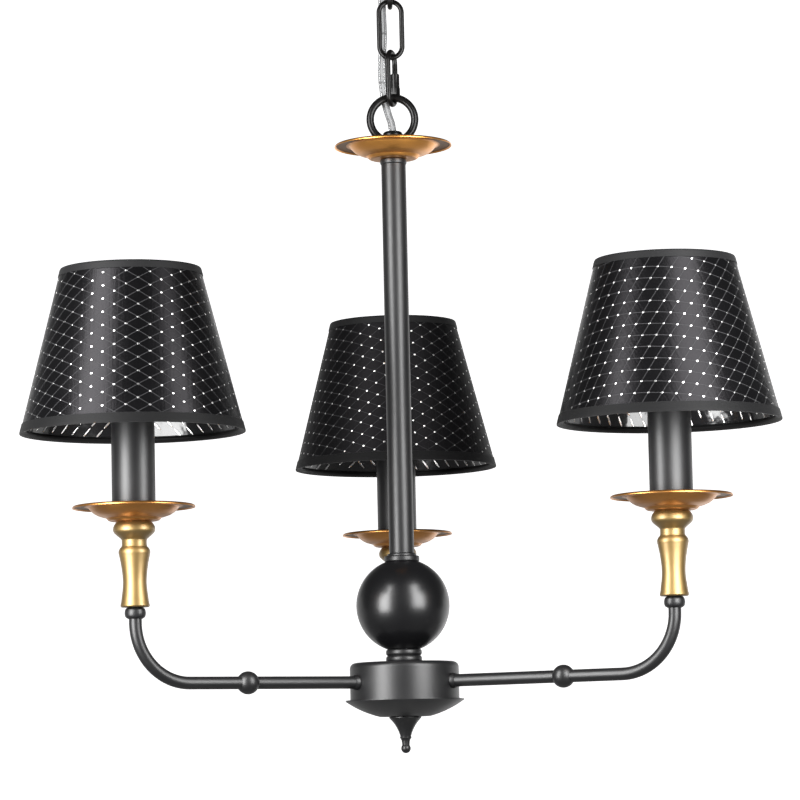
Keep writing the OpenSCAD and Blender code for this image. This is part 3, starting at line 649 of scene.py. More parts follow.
def group_in(tree, group, **values):
    node = tree.nodes.new("ShaderNodeGroup")
    node.node_tree = group
    for label, value in values.items():
        node.inputs[label.replace("_", " ")].default_value = value
    return node


def raised(tree, shader, height, distance):
    bump = tree.nodes.new("ShaderNodeBump")
    bump.inputs["Distance"].default_value = distance
    bump.inputs["Strength"].default_value = 1.0
    tree.links.new(height, bump.inputs["Height"])
    tree.links.new(bump.outputs["Normal"], shader.inputs["Normal"])


def coated(name, colour, gloss, tone=0.3, uneven=0.12, grain=2400.0, relief=0.00002, **sockets):
    """Finish of a coated, plated or moulded surface"""
    found = bpy.data.materials.get(name)
    if found:
        return found
    found, tree, shader = new_finish(name, **sockets)
    skin = group_in(tree, coat_group(), Colour=(*colour, 1), Tone=tone, Gloss=gloss, Uneven=uneven,
                    Grain=grain)
    join(tree, (skin, "Colour", shader, "Base Color"), (skin, "Roughness", shader, "Roughness"))
    raised(tree, shader, skin.outputs["Height"], relief)
    return found


def black_coat():
    return coated("satin black coat", settings().finish.coat, 0.40, tone=0.5, grain=3200.0, relief=0.00003)


def ball_paint():
    return coated("smooth ball paint", settings().finish.ball, 0.30, uneven=0.06, grain=900.0,
                  relief=0.000008)


def chain_enamel():
    return coated("chain enamel", settings().finish.chain, 0.30, tone=0.5, uneven=0.2, grain=1500.0,
                  relief=0.00004, Specular_IOR_Level=0.2)


def pressed_brass(name, colour):
    """Antique brass with painted shade where the mesh marks the recess under the rim: darker colour and no
    lacquer there
    """
    lacquer, recess_shade_factor = 0.45, 0.26
    found = coated(name, colour, 0.36, tone=0.35, uneven=0.14, grain=3000.0, relief=0.000012, Metallic=1.0,
                   Coat_Roughness=0.32)
    tree = found.node_tree
    shader = tree.nodes["Principled BSDF"]
    base = shader.inputs["Base Color"]
    recess_shade = tree.nodes.new("ShaderNodeAttribute")
    recess_shade.attribute_name = "recess_shade"
    mix = tree.nodes.new("ShaderNodeMix")
    mix.data_type = "RGBA"
    mix.inputs["B"].default_value = (*[recess_shade_factor * c for c in colour], 1)
    tree.links.new(base.links[0].from_socket, mix.inputs["A"])
    join(tree, (recess_shade, "Fac", mix, "Factor"), (mix, "Result", shader, "Base Color"))
    left_over = math_node(tree, "MULTIPLY_ADD", recess_shade.outputs["Fac"], -lacquer, lacquer)
    tree.links.new(left_over, shader.inputs["Coat Weight"])
    return found


def turned_brass():
    return coated("turned brass", settings().finish.turned, 0.50, tone=0.3, uneven=0.14, grain=3000.0,
                  relief=0.000015, Metallic=1.0, Coat_Weight=0.7, Coat_Roughness=0.32)


def zinc():
    return coated("zinc plate", (0.55, 0.56, 0.58), 0.36, tone=0.4, uneven=0.2, grain=1800.0, Metallic=1.0)


def dark_plastic():
    return coated("lampholder plastic", (0.022, 0.022, 0.022), 0.5, tone=0.3, grain=1500.0, relief=0.00003)


def pale_plastic():
    return coated("terminal plastic", (0.72, 0.69, 0.60), 0.45, tone=0.12, grain=1200.0)


def sheath():
    return coated("wire sheath", (0.75, 0.75, 0.72), 0.35, tone=0.1, grain=900.0)


def tinned():
    return coated("tinned strands", (0.24, 0.24, 0.245), 0.35, tone=0.6, grain=1200.0, Metallic=1.0)


def shade_wire():
    return coated("coated shade wire", (0.03, 0.03, 0.031), 0.38, tone=0.3, grain=1600.0)


def silver_thread():
    return coated("silver thread", settings().finish.silver, 0.30, tone=0.3, uneven=0.3, grain=2600.0,
                  relief=0.00003, Metallic=1.0)


def edge_tape(name, colour, shine):
    return coated(name, colour, 0.62, tone=0.5, grain=2600.0, relief=0.00006,
                  Sheen_Weight=0.03, Sheen_Roughness=0.5, Specular_IOR_Level=shine)


def lining():
    return coated("shade lining", (0.008, 0.008, 0.009), 0.12, tone=0.4, uneven=0.08, grain=90.0,
                  relief=0.0004)


def cloth(name, gloss):
    """Black satin with a net of thin lines"""
    finish, tree, shader = new_finish(name, Specular_IOR_Level=0.11, Specular_Tint=(0.98, 0.94, 1, 1))
    shade, relief = settings().shade, 0.00006
    net = group_in(tree, net_group(), Column_Pitch=shade.column_pitch, Dot_Pitch=shade.dot_pitch,
                   Line_Width=shade.line_width)
    ground = group_in(tree, coat_group(), Colour=(*settings().finish.cloth, 1), Tone=0.8, Gloss=gloss,
                      Uneven=0.2, Grain=1500.0)
    mix = tree.nodes.new("ShaderNodeMix")
    mix.data_type = "RGBA"
    mix.inputs["B"].default_value = (*settings().finish.thread, 1)
    rough = tree.nodes.new("ShaderNodeMix")
    rough.inputs["B"].default_value = 0.9
    join(tree, (net, "Line", mix, "Factor"), (ground, "Colour", mix, "A"),
         (mix, "Result", shader, "Base Color"), (net, "Line", rough, "Factor"),
         (ground, "Roughness", rough, "A"), (rough, "Result", shader, "Roughness"))
    weave, cloud, line = (math_node(tree, "MULTIPLY", net.outputs[label], share)
                          for label, share in (("Weave", 0.6), ("Cloud", 1.8), ("Line", 0.5)))
    height = math_node(tree, "ADD", math_node(tree, "ADD", weave, cloud), line)
    raised(tree, shader, height, relief)
    return finish


def clear_jacket():
    return coated("clear jacket", (0.46, 0.465, 0.47), 0.14, tone=0.1, uneven=0.1, grain=700.0,
                  relief=0.00001, Transmission_Weight=0.75, IOR=1.45)


def frosted_glass():
    return coated("frosted glass", (0.93, 0.93, 0.91), 0.42, tone=0.06, uneven=0.1, grain=1500.0,
                  Transmission_Weight=0.6, IOR=1.5)


# Operators


class CHANDELIER_OT_camera(bpy.types.Operator):
    """Place the camera of the main view"""

    bl_idname = "chandelier.camera"
    bl_label = "Camera"

    def execute(self, context):
        view = settings().view
        lens = bpy.data.cameras.new("front camera")
        lens.lens = view.lens
        lens.sensor_width = 36.0
        lens.clip_start, lens.clip_end = 0.05, 50.0
        camera = linked("front camera", lens)
        level = math.cos(view.pitch)
        ahead = Vector((math.sin(view.turn) * level, math.cos(view.turn) * level, math.sin(view.pitch)))
        right = Vector((math.cos(view.turn), -math.sin(view.turn), 0))
        up = right.cross(ahead)
        leaning = right * math.cos(view.roll) + up * math.sin(view.roll)
        upright = up * math.cos(view.roll) - right * math.sin(view.roll)
        axes = Matrix((leaning, upright, -ahead)).transposed().to_4x4()
        camera.matrix_world = Matrix.Translation(Vector(view.place)) @ axes
        context.scene.camera = camera
        return {"FINISHED"}


class CHANDELIER_OT_cord(bpy.types.Operator):
    """Hang the flat clear cord beside the chain, one stretch to each joint"""

    bl_idname = "chandelier.cord"
    bl_label = "Cord"

    width, thickness, core_r = 5.0, 2.5, 0.62

    def execute(self, context):
        side_r = self.thickness / 2
        apart = self.width / 2 - side_r
        jacket = arc((apart, 0), side_r, -90, 90, 8) + arc((-apart, 0), side_r, 90, 270, 8)
        core = arc((0, 0), self.core_r, 0, 315, 7)
        cores = [[(side * apart + x, y) for x, y in core] for side in (-1, 1)]
        for node, upper, lower, knots in CORD_ROUTES:
            route = smooth(knots, 5)
            outer = strand(route, jacket)
            mesh = plain_mesh(node + "_look", [outer] + [strand(route, section) for section in cores])
            mesh.shade_smooth()
            mesh.materials.append(clear_jacket())
            mesh.materials.append(tinned())
            for face in mesh.polygons:
                face.material_index = 0 if face.index < len(outer[1]) else 1
            piece = linked(node + "_look", mesh)
            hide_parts(node)
            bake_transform(piece)
        return {"FINISHED"}


class CHANDELIER_OT_chain(bpy.types.Operator):
    """Link the chain, the screw link and the two rings"""

    bl_idname = "chandelier.chain"
    bl_label = "Chain"

    link_width, link_wire = 18, 3.3
    screw_width, screw_wire, gate_foot, gate_gap = 17, 3.4, 1, 5.2
    core_r, root_r, crest_r, thread_pitch = 1.4, 1.66, 1.86, 0.6
    nut_r, nut_end_r, nut_bore, hexagon, nut_steps = 2.85, 2.4, 1.95, 4.9, 48
    ring_r, ring_wire_r = 14.5, 2.5
    post_r, post_bore, post_lip, post_top = 6.5, 3.6, 2.2, 8

    def execute(self, context):
        self.link("chain_link_upper", "upper_link", 90)
        self.link("chain_link_lower", "lower_link", 0)
        self.screw_link()
        self.ring("canopy_loop", CEILING_BODY, -1)
        self.ring("hanging_loop", FRAME_BODY, 1)
        return {"FINISHED"}

    def bow(self, r, rise):
        """Top bend, left leg and foot bend of a link, about its middle"""
        top = [(x, z + rise) for x, z in arc((0, 0), r, 0, 180, 24)]
        left = [(-r, rise * (1 - i / 4)) for i in range(1, 8)]
        foot = [(x, z - rise) for x, z in arc((0, 0), r, 180, 360, 24)]
        return top + left + foot

    def hung(self, outline, level, turn):
        """Flat outline stood up at a level and turned about the upright"""
        return spun(([(x, 0, z + level) for x, z in outline], []), turn)[0]

    def link(self, node, body, turn):
        low, high = heights(node)
        r = (self.link_width - self.link_wire) / 2
        rise = (high - low - self.link_wire) / 2 - r
        right = [(r, rise * (i / 4 - 1)) for i in range(1, 8)]
        path = self.hung(self.bow(r, rise) + right, (low + high) / 2, turn)
        piece = wire(node + "_look", [(path, True)], self.link_wire / 2, chain_enamel(), 20)
        carried(piece, body, chain_enamel(), [node])

    def screw_link(self):
        """Open link with a thread beside its gate, and the nut that closes it"""
        low, high = heights("quick_link")
        x, y = middle("quick_link_nut")
        turn = math.degrees(math.atan2(y, x))
        r = (self.screw_width - self.screw_wire) / 2
        rise = (high - low - self.screw_wire) / 2 - r
        level = (low + high) / 2
        gate = self.gate_foot - rise
        path = self.hung([(r, gate + self.gate_gap)] + self.bow(r, rise) + [(r, gate)], level, turn)
        piece = wire("quick_link_look", [(path, False)], self.screw_wire / 2, chain_enamel(), 20)
        carried(piece, "screw_link", chain_enamel(), ["quick_link"])
        centre = (r * math.cos(math.radians(turn)), r * math.sin(math.radians(turn)))
        nut_low, nut_high = heights("quick_link_nut")
        turns = thread(self.root_r, self.crest_r, nut_high + 0.3, level + rise - 0.5, self.thread_pitch)
        end = turns[-1][1] + self.thread_pitch / 2
        turns = [(self.core_r, nut_high + 0.2)] + turns + [(self.root_r, end), (self.core_r, end)]
        shape = revolve(turns, centre, 0, 24)
        made("quick_link_thread", [shape], "screw_link", "chain_black", chain_enamel())
        nut = spun(banded(self.nut(nut_low, nut_high), centre, self.nut_steps), turn, centre)
        made("quick_link_nut_look", [nut], "screw_link_nut", "chain_black", chain_enamel(),
             ["quick_link_nut"])

    def nut(self, low, high):
        """Rings of a sleeve nut with a hexagon at its foot"""
        def flats(step):
            from_flat = (360 / self.nut_steps * step + 30) % 60 - 30
            return self.nut_r / math.cos(math.radians(from_flat))

        return [(self.nut_bore, low), (flats, low), (flats, low + self.hexagon),
                (self.nut_r, low + self.hexagon + 0.4), (self.nut_r, high - 0.5), (self.nut_end_r, high),
                (self.nut_bore, high)]

    def ring(self, node, body, side):
        """Cast ring on a round post, below the ring for side 1 and above it for side -1"""
        low, high = heights(node)
        outer = self.ring_r + self.ring_wire_r
        eye, end = (high - outer, low) if side > 0 else (low + outer, high)
        torus = revolve(arc((self.ring_r, 0), self.ring_wire_r, 0, 345, 23), (0, 0), 0, 72)
        torus = [(x, -z, y + eye) for x, y, z in torus[0]], torus[1]
        top, lip = eye - side * self.post_top, self.post_lip
        post = [(self.post_bore, end), (self.post_r, end), (self.post_r, top - side * lip)]
        bend = arc((self.post_r - lip, 0), lip, 15, 90, 5)
        post += [(r, top - side * (lip - z)) for r, z in bend] + [(self.post_bore, top)]
        piece = fused(node + "_look", torus, revolve(post, (0, 0), 0, 48))
        carried(piece, body, chain_enamel(), [node])


class CHANDELIER_OT_column(bpy.types.Operator):
    """Turn the stem, the ball, the hub and the finial"""

    bl_idname = "chandelier.column"
    bl_label = "Column"

    def execute(self, context):
        for node, outline in (
                ("stem_cap", self.cap()), ("stem_tube", self.stem()), ("stem_foot", self.foot()),
                ("ball", self.ball()), ("ball_neck", self.neck()), ("hub_cup", self.hub()),
                ("hub_saucer", self.saucer()), ("finial", self.finial())):
            low, high = heights(node)
            base = high if node == "finial" else low
            slot, finish = ("ball_black", ball_paint()) if node == "ball" else ("satin_black", black_coat())
            made(node + "_look", [revolve(outline, (0, 0), base, 128)], FRAME_BODY, slot, finish, [node])
        return {"FINISHED"}

    def cap(self):
        r, edge, tall = 7.8, 0.8, 3.4
        side = arc((r, edge), edge, -90, 0, 6) + arc((r, tall - edge), edge, 0, 90, 6)
        return [(ROD_HOLE, 0), (r, 0)] + side + [(ROD_HOLE, tall)]

    def stem(self):
        low, high = heights("stem_tube")
        bore, outer, edge = 7, 8, 0.2
        return collar(bore, outer, high - low, edge)

    def foot(self):
        r, edge, tall = 10.35, 0.9, 5.4
        wide_ring = arc((r, edge), edge, -90, 0, 6) + arc((r, 2.8), edge, 0, 90, 6)
        small_ring = [(9.35, 3.75)] + arc((8.7, 4.6), 0.6, -10, 80, 6)
        return [(ROD_HOLE, 0), (r, 0)] + wide_ring + small_ring + [(ROD_HOLE, tall)]

    def ball(self):
        outer, inner, mouth = 30, 28.8, 10.75
        half = math.sqrt(outer ** 2 - mouth ** 2)
        outside, inside = (math.degrees(math.asin(half / r)) for r in (outer, inner))
        return arc((0, half), outer, -outside, outside, 64) + arc((0, half), inner, inside, -inside, 24)

    def neck(self):
        pitch, tall = 4.25, 8.5
        ridge = smooth([(10.7, 0.15), (11.4, 0.9), (11.6, 2.1), (11.4, 3.3), (10.75, 4.0)], 5)
        upper = [(r, z + pitch) for r, z in ridge]
        return [(ROD_HOLE, 0), (10.7, 0)] + ridge + [(10.5, 4.2)] + upper + [(ROD_HOLE, tall)]

    def hub(self):
        low, high = heights("hub_cup")
        tall, outer, wall, edge = high - low, 35, 1.2, 3.6
        bend = (outer - edge, tall - edge)
        side = [(outer - wall, 0), (outer, 0)] + arc(bend, edge, 0, 90, 12)
        return side + [(ROD_HOLE, tall), (ROD_HOLE, tall - wall)] + arc(bend, edge - wall, 90, 0, 8)

    def saucer(self):
        flat, rim, depth, wall = 16.5, 38, 10, 1
        rise = (rim ** 2 - flat ** 2) / (2 * depth) + depth / 2
        ball = math.hypot(flat, rise)
        radii = [flat + (rim - flat) * i / 28 for i in range(29)]
        under = [(r, rise - math.sqrt(ball ** 2 - r ** 2)) for r in radii]
        edge = [(rim + 0.05, depth + 0.3), (rim, depth + 0.7)]
        over = [(r - 0.25, z + wall) for r, z in under[-2::-1]]
        return [(ROD_HOLE, 0)] + under + edge + over + [(ROD_HOLE, wall)]

    def finial(self):
        drop, tip_r, bore, bite = 23.5, 3.1, 5.05, 4.2
        flare = smooth([(10.3, -1), (8.24, -3.2), (6.03, -6.4), (4.48, -9.6), (3.5, -12.4)], 5)
        bead = smooth([(3.45, -12.8), (3.8, -13.4), (3.3, -14.2), (2.75, -15.4), (2.5, -17.2)], 4)
        tip = arc((0, tip_r - drop), tip_r, 40, -90, 16)[:-1] + [(0, -drop)]
        return [(bore, 0), (9.9, 0), (10.3, -0.35)] + flare + bead + tip + [(0, -bite), (bore, -bite)]


class CHANDELIER_OT_dishes(bpy.types.Operator):
    """Press the dish under the ring and the drip pans"""

    bl_idname = "chandelier.dishes"
    bl_label = "Dishes"

    wall = 0.8
    # Radii and height of the recess under the rim that gets painted shade
    recess_in, recess_out, recess_top = 30.5, 37, 9.5

    def execute(self, context):
        colours = settings().finish
        dish = pressed_brass("pressed antique brass", colours.pressed)
        # Painted shade: the drip pans take a darker copy of the dish's brass
        pan = pressed_brass("pressed pan brass", colours.pan)
        for node, brass in [("top_dish", dish)] + [(f"drip_pan_{k}", pan) for k in LAMPS]:
            centre, low = middle(node), heights(node)[0]
            shape = revolve(self.outline(), centre, low, 128)
            piece = made(node + "_look", [shape], FRAME_BODY, "antique_brass", brass, [node], 40)
            # Painted shade in the recess under the rim
            self.paint_recess_shade(piece.data, Vector((*centre, low)) * MM)
        return {"FINISHED"}

    def outline(self):
        bowl = smooth([(11.6, 0), (14.4, 0.1), (15.9, 0.6), (16.7, 1.4), (17.4, 2.1), (19.2, 2.6),
                       (22.6, 3.8), (25.3, 5.5), (27.2, 7.4), (28.2, 8.6), (29.5, 9.15), (31.2, 9.2)], 6)
        lip = smooth([(36, 9.2), (37.3, 9.0), (38.0, 8.2)], 5)[:-1]
        rim = smooth([(38.0, 8.2), (38.12, 8.6), (37.95, 9.1), (37.3, 9.75), (36, 10.0)], 5)
        inside = [(r, z + self.wall) for r, z in bowl[::-1]]
        return [(ROD_HOLE, 0)] + bowl + lip + rim + inside + [(ROD_HOLE, self.wall)]

    def paint_recess_shade(self, mesh, foot):
        """Marks the recess under the rim for painted shade"""
        field = mesh.attributes.new("recess_shade", "FLOAT", "POINT")
        for v in mesh.vertices:
            out = (v.co.xy - foot.xy).length / MM
            under = (v.co.z - foot.z) / MM < self.recess_top
            field.data[v.index].value = self.recess_in < out < self.recess_out and under


class CHANDELIER_OT_arms(bpy.types.Operator):
    """Bend the arms and string their beads"""

    bl_idname = "chandelier.arms"
    bl_label = "Arms"

    foot_at, ferrule_at, bead_at = 26, 34.9, 114
    tube_r, bend_r, bead_r, bore = 4.0, 37, 7.25, 4.05

    def execute(self, context):
        beads, ferrules, ends = [], [], []
        level = sum(heights("arm_beads")) / 2
        up = Vector((0, 0, level))
        for k in LAMPS:
            x, y = middle(f"candle_sleeve_{k}")
            lamp = Vector((x, y, 0))
            out = lamp.normalized()
            self.tube(k, out, lamp.length, level)
            bead, ferrule = revolve(self.bead(), (0, 0), 0, 48), revolve(self.ferrule(), (0, 0), 0, 40)
            beads.append(turned_to(bead, out * self.bead_at + up, out))
            ferrules.append(turned_to(ferrule, out * self.ferrule_at + up, out))
            ends.append(revolve(self.end_bead(), (x, y), heights("end_beads")[0], 64))
        for node, parts in (("arm_beads", beads), ("arm_ferrules", ferrules), ("end_beads", ends)):
            made(node + "_look", parts, FRAME_BODY, "satin_black", black_coat(), [node])
        return {"FINISHED"}

    def tube(self, k, out, reach, level):
        """Tube that leaves the hub level and bends up under its lamp"""
        bend = arc((reach - self.bend_r, level + self.bend_r), self.bend_r, -90, 0, 28)
        line = [(self.foot_at, level), (self.bead_at, level)] + bend + [(reach, heights(f"arm_{k}")[1])]
        path = [(out.x * r, out.y * r, z) for r, z in line]
        piece = wire(f"arm_{k}_look", [(path, False)], self.tube_r, black_coat(), 32)
        carried(piece, FRAME_BODY, black_coat(), [f"arm_{k}"])

    def bead(self):
        half = 6.0
        return [(self.bore, -half)] + arc((0, 0), self.bead_r, -56, 56, 28) + [(self.bore, half)]

    def ferrule(self):
        cone = smooth([(4.9, 0.9), (4.8, 1.4), (4.55, 2.3), (4.3, 3.0)], 3)
        return [(self.bore, 0), (4.9, 0)] + cone + [(self.bore, 3.0)]

    def end_bead(self):
        drop = smooth([(4.5, 0.1), (5.4, 0.7), (6.2, 1.5), (6.6, 3.6), (6.2, 5.8), (5.4, 6.7), (4.6, 7.2)], 5)
        return [(self.bore, 0.1)] + drop + [(self.bore, 7.2)]


class CHANDELIER_OT_balusters(bpy.types.Operator):
    """Turn the brass balusters"""

    bl_idname = "chandelier.balusters"
    bl_label = "Balusters"

    def execute(self, context):
        for k in LAMPS:
            node = f"baluster_{k}"
            shape = revolve(self.outline(), middle(node), heights(node)[0], 96)
            made(node + "_look", [shape], FRAME_BODY, "antique_brass", turned_brass(), [node], 28)
        return {"FINISHED"}

    def outline(self):
        bore, tall = 3.5, 53
        body = smooth([(8.6, 0), (9.1, 0.7), (8.95, 1.8), (8.6, 3.4), (8.22, 6.4), (7.6, 11), (7.35, 15.5),
                       (7.65, 20.5), (8.45, 26.5), (9.45, 31.6), (9.85, 33.6), (9.6, 35.2), (8.8, 36.6)], 5)
        neck = [(8.1, 37.2), (7.75, 38.2), (7.75, 41.2)]
        head = smooth([(7.9, 41.7), (8.7, 42.6), (11.2, 44.7), (12.65, 46.3), (13.1, 47.9), (12.75, 49.9),
                       (11.9, 51.4), (10.5, tall)], 5)
        return [(bore, 0)] + body + neck + head + [(bore, tall)]


class CHANDELIER_OT_candles(bpy.types.Operator):
    """Set up the candle sleeves, lampholders and bulbs"""

    bl_idname = "chandelier.candles"
    bl_label = "Candles"

    sleeve_r, sleeve_bore, sleeve_edge = 13.5, 12.5, 0.25
    holder_r, holder_root_r, holder_thread = 12.2, 12.05, 9
    holder_foot_r, holder_foot, wire_hole = 8, 12, 5.05
    socket_r, socket_depth = 7.2, 26
    nut_r, nut_groove_r, nut_edge_r, nut_bore, nut_edge = 16.0, 15.65, 15.6, 12.25, 0.4
    cap_r, cap_root_r, cap_pitch, cap_height = 6.9, 6.6, 3.0, 25.0
    glass_r, glass_height, glass_wall = 17.5, 68, 0.8

    def execute(self, context):
        holders, nuts, bulbs = [], [], []
        for k in LAMPS:
            node = f"candle_sleeve_{k}"
            centre = middle(node)
            low, high = heights(node)
            wall = collar(self.sleeve_bore, self.sleeve_r, high - low, self.sleeve_edge)
            shape = revolve(wall, centre, low, 96)
            made(node + "_look", [shape], FRAME_BODY, "satin_black", black_coat(), [node])
            low, high = heights("lampholders")
            holders.append(revolve(self.holder(high - low), centre, low, 64))
            nuts.append(banded(self.ring_nut(*heights("shade_ring_nuts")), centre, 96))
            bulbs.append(revolve(self.bulb(), centre, heights("bulbs")[0], 48))
        made("lampholders_look", holders, FRAME_BODY, "holder_plastic", dark_plastic(), ["lampholders"])
        made("shade_ring_nuts_look", nuts, FRAME_BODY, "holder_plastic", dark_plastic(), ["shade_ring_nuts"])
        made("bulbs_look", bulbs, FRAME_BODY, "bulb_glass", frosted_glass(), ["bulbs"])
        return {"FINISHED"}

    def holder(self, tall):
        """Lampholder on a narrow foot, with a thread for its ring nut and a socket for the bulb's cap"""
        foot = [(self.wire_hole, 0), (self.holder_foot_r, 0), (self.holder_foot_r, self.holder_foot)]
        side = [(self.holder_r, self.holder_foot), (self.holder_r, tall - self.holder_thread - 0.5)]
        turns = thread(self.holder_root_r, self.holder_r, tall - self.holder_thread, tall - 1.2, 1.0)
        mouth = [(12.0, tall - 0.3), (11.6, tall), (self.socket_r, tall)]
        floor = tall - self.socket_depth
        return foot + side + turns + mouth + [(self.socket_r, floor), (self.wire_hole, floor)]

    def ring_nut(self, low, high):
        """Rings of a nut with a groove at every fourth step"""
        def grooved(step):
            return self.nut_r if step % 4 else self.nut_groove_r

        return [(self.nut_bore, low), (self.nut_edge_r, low), (grooved, low + self.nut_edge),
                (grooved, high - self.nut_edge), (self.nut_edge_r, high), (self.nut_bore, high)]

    def bulb(self):
        inner_r = self.cap_r - self.glass_wall
        turns = thread(self.cap_root_r, self.cap_r, 2, 22, self.cap_pitch)
        outside = self.glass(self.cap_r, self.glass_r, self.glass_height)
        inside = self.glass(inner_r, self.glass_r - self.glass_wall, self.glass_height - self.glass_wall)
        return [(inner_r, 0), (6.5, 0)] + turns + outside + inside[-2::-1]

    def glass(self, neck_r, r, tall):
        """Candle shape on its cap"""
        knots = [(neck_r, 0), (r * 0.66, tall * 0.14), (r, tall * 0.4), (r * 0.8, tall * 0.66),
                 (r * 0.32, tall * 0.9), (0, tall)]
        return [(x, z + self.cap_height) for x, z in smooth(knots, 6)]


class CHANDELIER_OT_shades(bpy.types.Operator):
    """Cover the shades with dotted cloth, line them and tape their edges"""

    bl_idname = "chandelier.shades"
    bl_label = "Shades"

    foot_r, top_r = 69.75, 43.5
    cloth_in, lining_in = 0.45, 0.72
    cloth_margin, lining_margin = 0.3, 4.0
    dot_margins, float_margins = (6.9, 5.9), (4.7, 6.0)
    dot_relief, float_relief, float_share = 0.12, 0.4, 0.94
    columns_each_side, rows, seam_share = 60, 60, 0.995
    dull_shade = 3

    def execute(self, context):
        turns = settings().shade.turn
        bright, dull = cloth("dotted satin", 0.30), cloth("dotted satin, dull side", 0.50)
        for k in LAMPS:
            self.low, self.high = heights(f"shade_cover_{k}")
            self.centre = middle(f"shade_cover_{k}")
            self.slope = (self.foot_r - self.top_r) / (self.high - self.low)
            self.lean = math.hypot(1, self.slope)
            self.sine = self.slope / self.lean
            self.turn = turns[k - 1]
            body = f"shade_{k}"
            outer = self.sheet(f"shade_cloth_{k}", 0.0, self.cloth_in, self.cloth_margin)
            face = dull if k == self.dull_shade else bright
            carried(outer, body, face, [f"shade_cover_{k}"])
            inner = self.sheet(f"shade_lining_{k}", self.cloth_in, self.lining_in, self.lining_margin)
            carried(inner, body, lining())
            self.tapes(k, body)
            self.marks(k, body)
        return {"FINISHED"}

    def radius(self, z):
        return self.foot_r - (z - self.low) * self.slope

    def on_cone(self, azimuth, z, depth):
        r = self.radius(z) - depth * self.lean
        return (self.centre[0] + r * math.cos(azimuth), self.centre[1] + r * math.sin(azimuth), z)

    def flat(self, azimuth, z):
        """Point of the cloth's flat pattern, in metres, from an azimuth measured from the pattern's middle"""
        far = self.radius(z) / self.sine
        return far * math.sin(azimuth * self.sine) * MM, -far * math.cos(azimuth * self.sine) * MM

    def sheet(self, name, outside, inside, margin):
        """Closed thin cone between two depths under the outer face, with the flat pattern as its UV map"""
        steps, rows = 192, 12
        low, high = self.low + margin, self.high - margin
        levels = [low + (high - low) * i / rows for i in range(rows + 1)]
        outline = [(z, outside) for z in levels] + [(z, inside) for z in reversed(levels)]
        start = self.turn + math.pi
        verts = [Vector(self.on_cone(start + 2 * math.pi * i / steps, z, depth)) * MM
                 for z, depth in outline for i in range(steps)]
        mesh = bpy.data.meshes.new(name)
        mesh.from_pydata(verts, [], band_faces(len(outline), steps))
        uv = mesh.uv_layers.new(name="flat")
        for face in mesh.polygons:
            seam = {mesh.loops[i].vertex_index % steps for i in face.loop_indices} == {0, steps - 1}
            for i in face.loop_indices:
                v = mesh.loops[i].vertex_index
                step = v % steps
                if seam and step == 0:
                    step = steps
                azimuth = 2 * math.pi * step / steps - math.pi
                uv.data[i].uv = self.flat(azimuth, outline[v // steps][0])
        return linked(name, shaded(mesh, 50))

    def tapes(self, k, body):
        """Tape folded over each edge and round the edge's wire"""
        colour = settings().finish.tape
        foot = self.fold(self.low, 1, (6.2, 6.1, 4, 2, 0.8),
                         ((2.4, 0.5), (3.8, 1.4), (4.15, 2.5), (3.6, 3.5)), 4.2)
        head = self.fold(self.high, -1, (5, 4.9, 3, 1.5, 0.8),
                         ((2.2, 0.5), (3.1, 1.4), (3.2, 2.6), (2.3, 3.6)), 4.4)
        # Painted light and shade: the one tape is a lighter, shinier copy at the head and a darker, duller
        # copy at the foot, as if more light fell on the top
        for end, outline, share, shine in (("foot", foot, 0.35, 0.14), ("head", head, 0.6, 0.19)):
            finish = edge_tape(f"edge tape at the {end}", [share * c for c in colour], shine)
            shape = revolve(outline, self.centre, 0, 160)
            made(f"shade_tape_{end}_{k}", [shape], body, "shade_fabric", finish)

    def fold(self, edge, side, outside, round_wire, end):
        """Outline of a tape from heights outside, (depth, height) round the wire and its inner end"""
        def beside(height, out):
            z = edge + side * height
            return self.radius(z) + out, z

        rim = self.radius(edge)
        face = [beside(outside[0], 0.05)] + [beside(height, 0.42) for height in outside[1:]]
        lip = [(rim + 0.15, edge + side * 0.05), (rim - 0.9, edge)]
        inside = [(rim - depth, edge + side * height) for depth, height in round_wire] + [beside(end, -0.98)]
        return face + lip + smooth(inside, 4) + [beside(end + 0.1, -0.6)]

    def marks(self, k, body):
        """Silver dots outside, and the floats of the same thread inside"""
        shade = settings().shade
        for label, lift, depth, margins, sizes in (
                ("dots", 0.0, 0.0, self.dot_margins,
                 (shade.dot_width, shade.dot_height, self.dot_relief * MM)),
                ("floats", 0.5, self.lining_in, self.float_margins,
                 (shade.float_width, shade.dot_pitch * self.float_share, self.float_relief * MM))):
            name = f"shade_{label}_{k}"
            places = self.places(lift, depth, margins)
            seed_mesh = bpy.data.meshes.new(name + "_points")
            seed_mesh.from_pydata([place for place, out, along in places], [], [])
            for slot, key in ((1, "out"), (2, "along")):
                field = seed_mesh.attributes.new(key, "FLOAT_VECTOR", "POINT")
                field.data.foreach_set("vector", [c for place in places for c in place[slot]])
            piece = grown(name, seed_mesh, marks_tree(), {
                "Width": sizes[0], "Length": sizes[1], "Height": sizes[2], "Finish": silver_thread()})
            carried(piece, body, silver_thread())

    def places(self, lift, depth, margins):
        """Marks of the flat pattern that fall on the cone, with every other column half a pitch higher"""
        shade = settings().shade
        across, along = shade.column_pitch / MM, shade.dot_pitch / MM
        reach, half_turn = self.foot_r / self.sine, math.pi * self.sine * self.seam_share
        found = []
        for i in range(-self.columns_each_side, self.columns_each_side + 1):
            for j in range(-self.rows, 0):
                u, v = i * across, (j + (0.5 if i % 2 else 0.0) + lift) * along
                far, angle = math.hypot(u, v), math.atan2(u, -v)
                if far > reach or abs(angle) > half_turn:
                    continue
                z = self.low + (self.foot_r - far * self.sine) / self.slope
                if self.low + margins[0] < z < self.high - margins[1]:
                    found.append(self.mark(angle / self.sine, z, depth, angle))
        return found

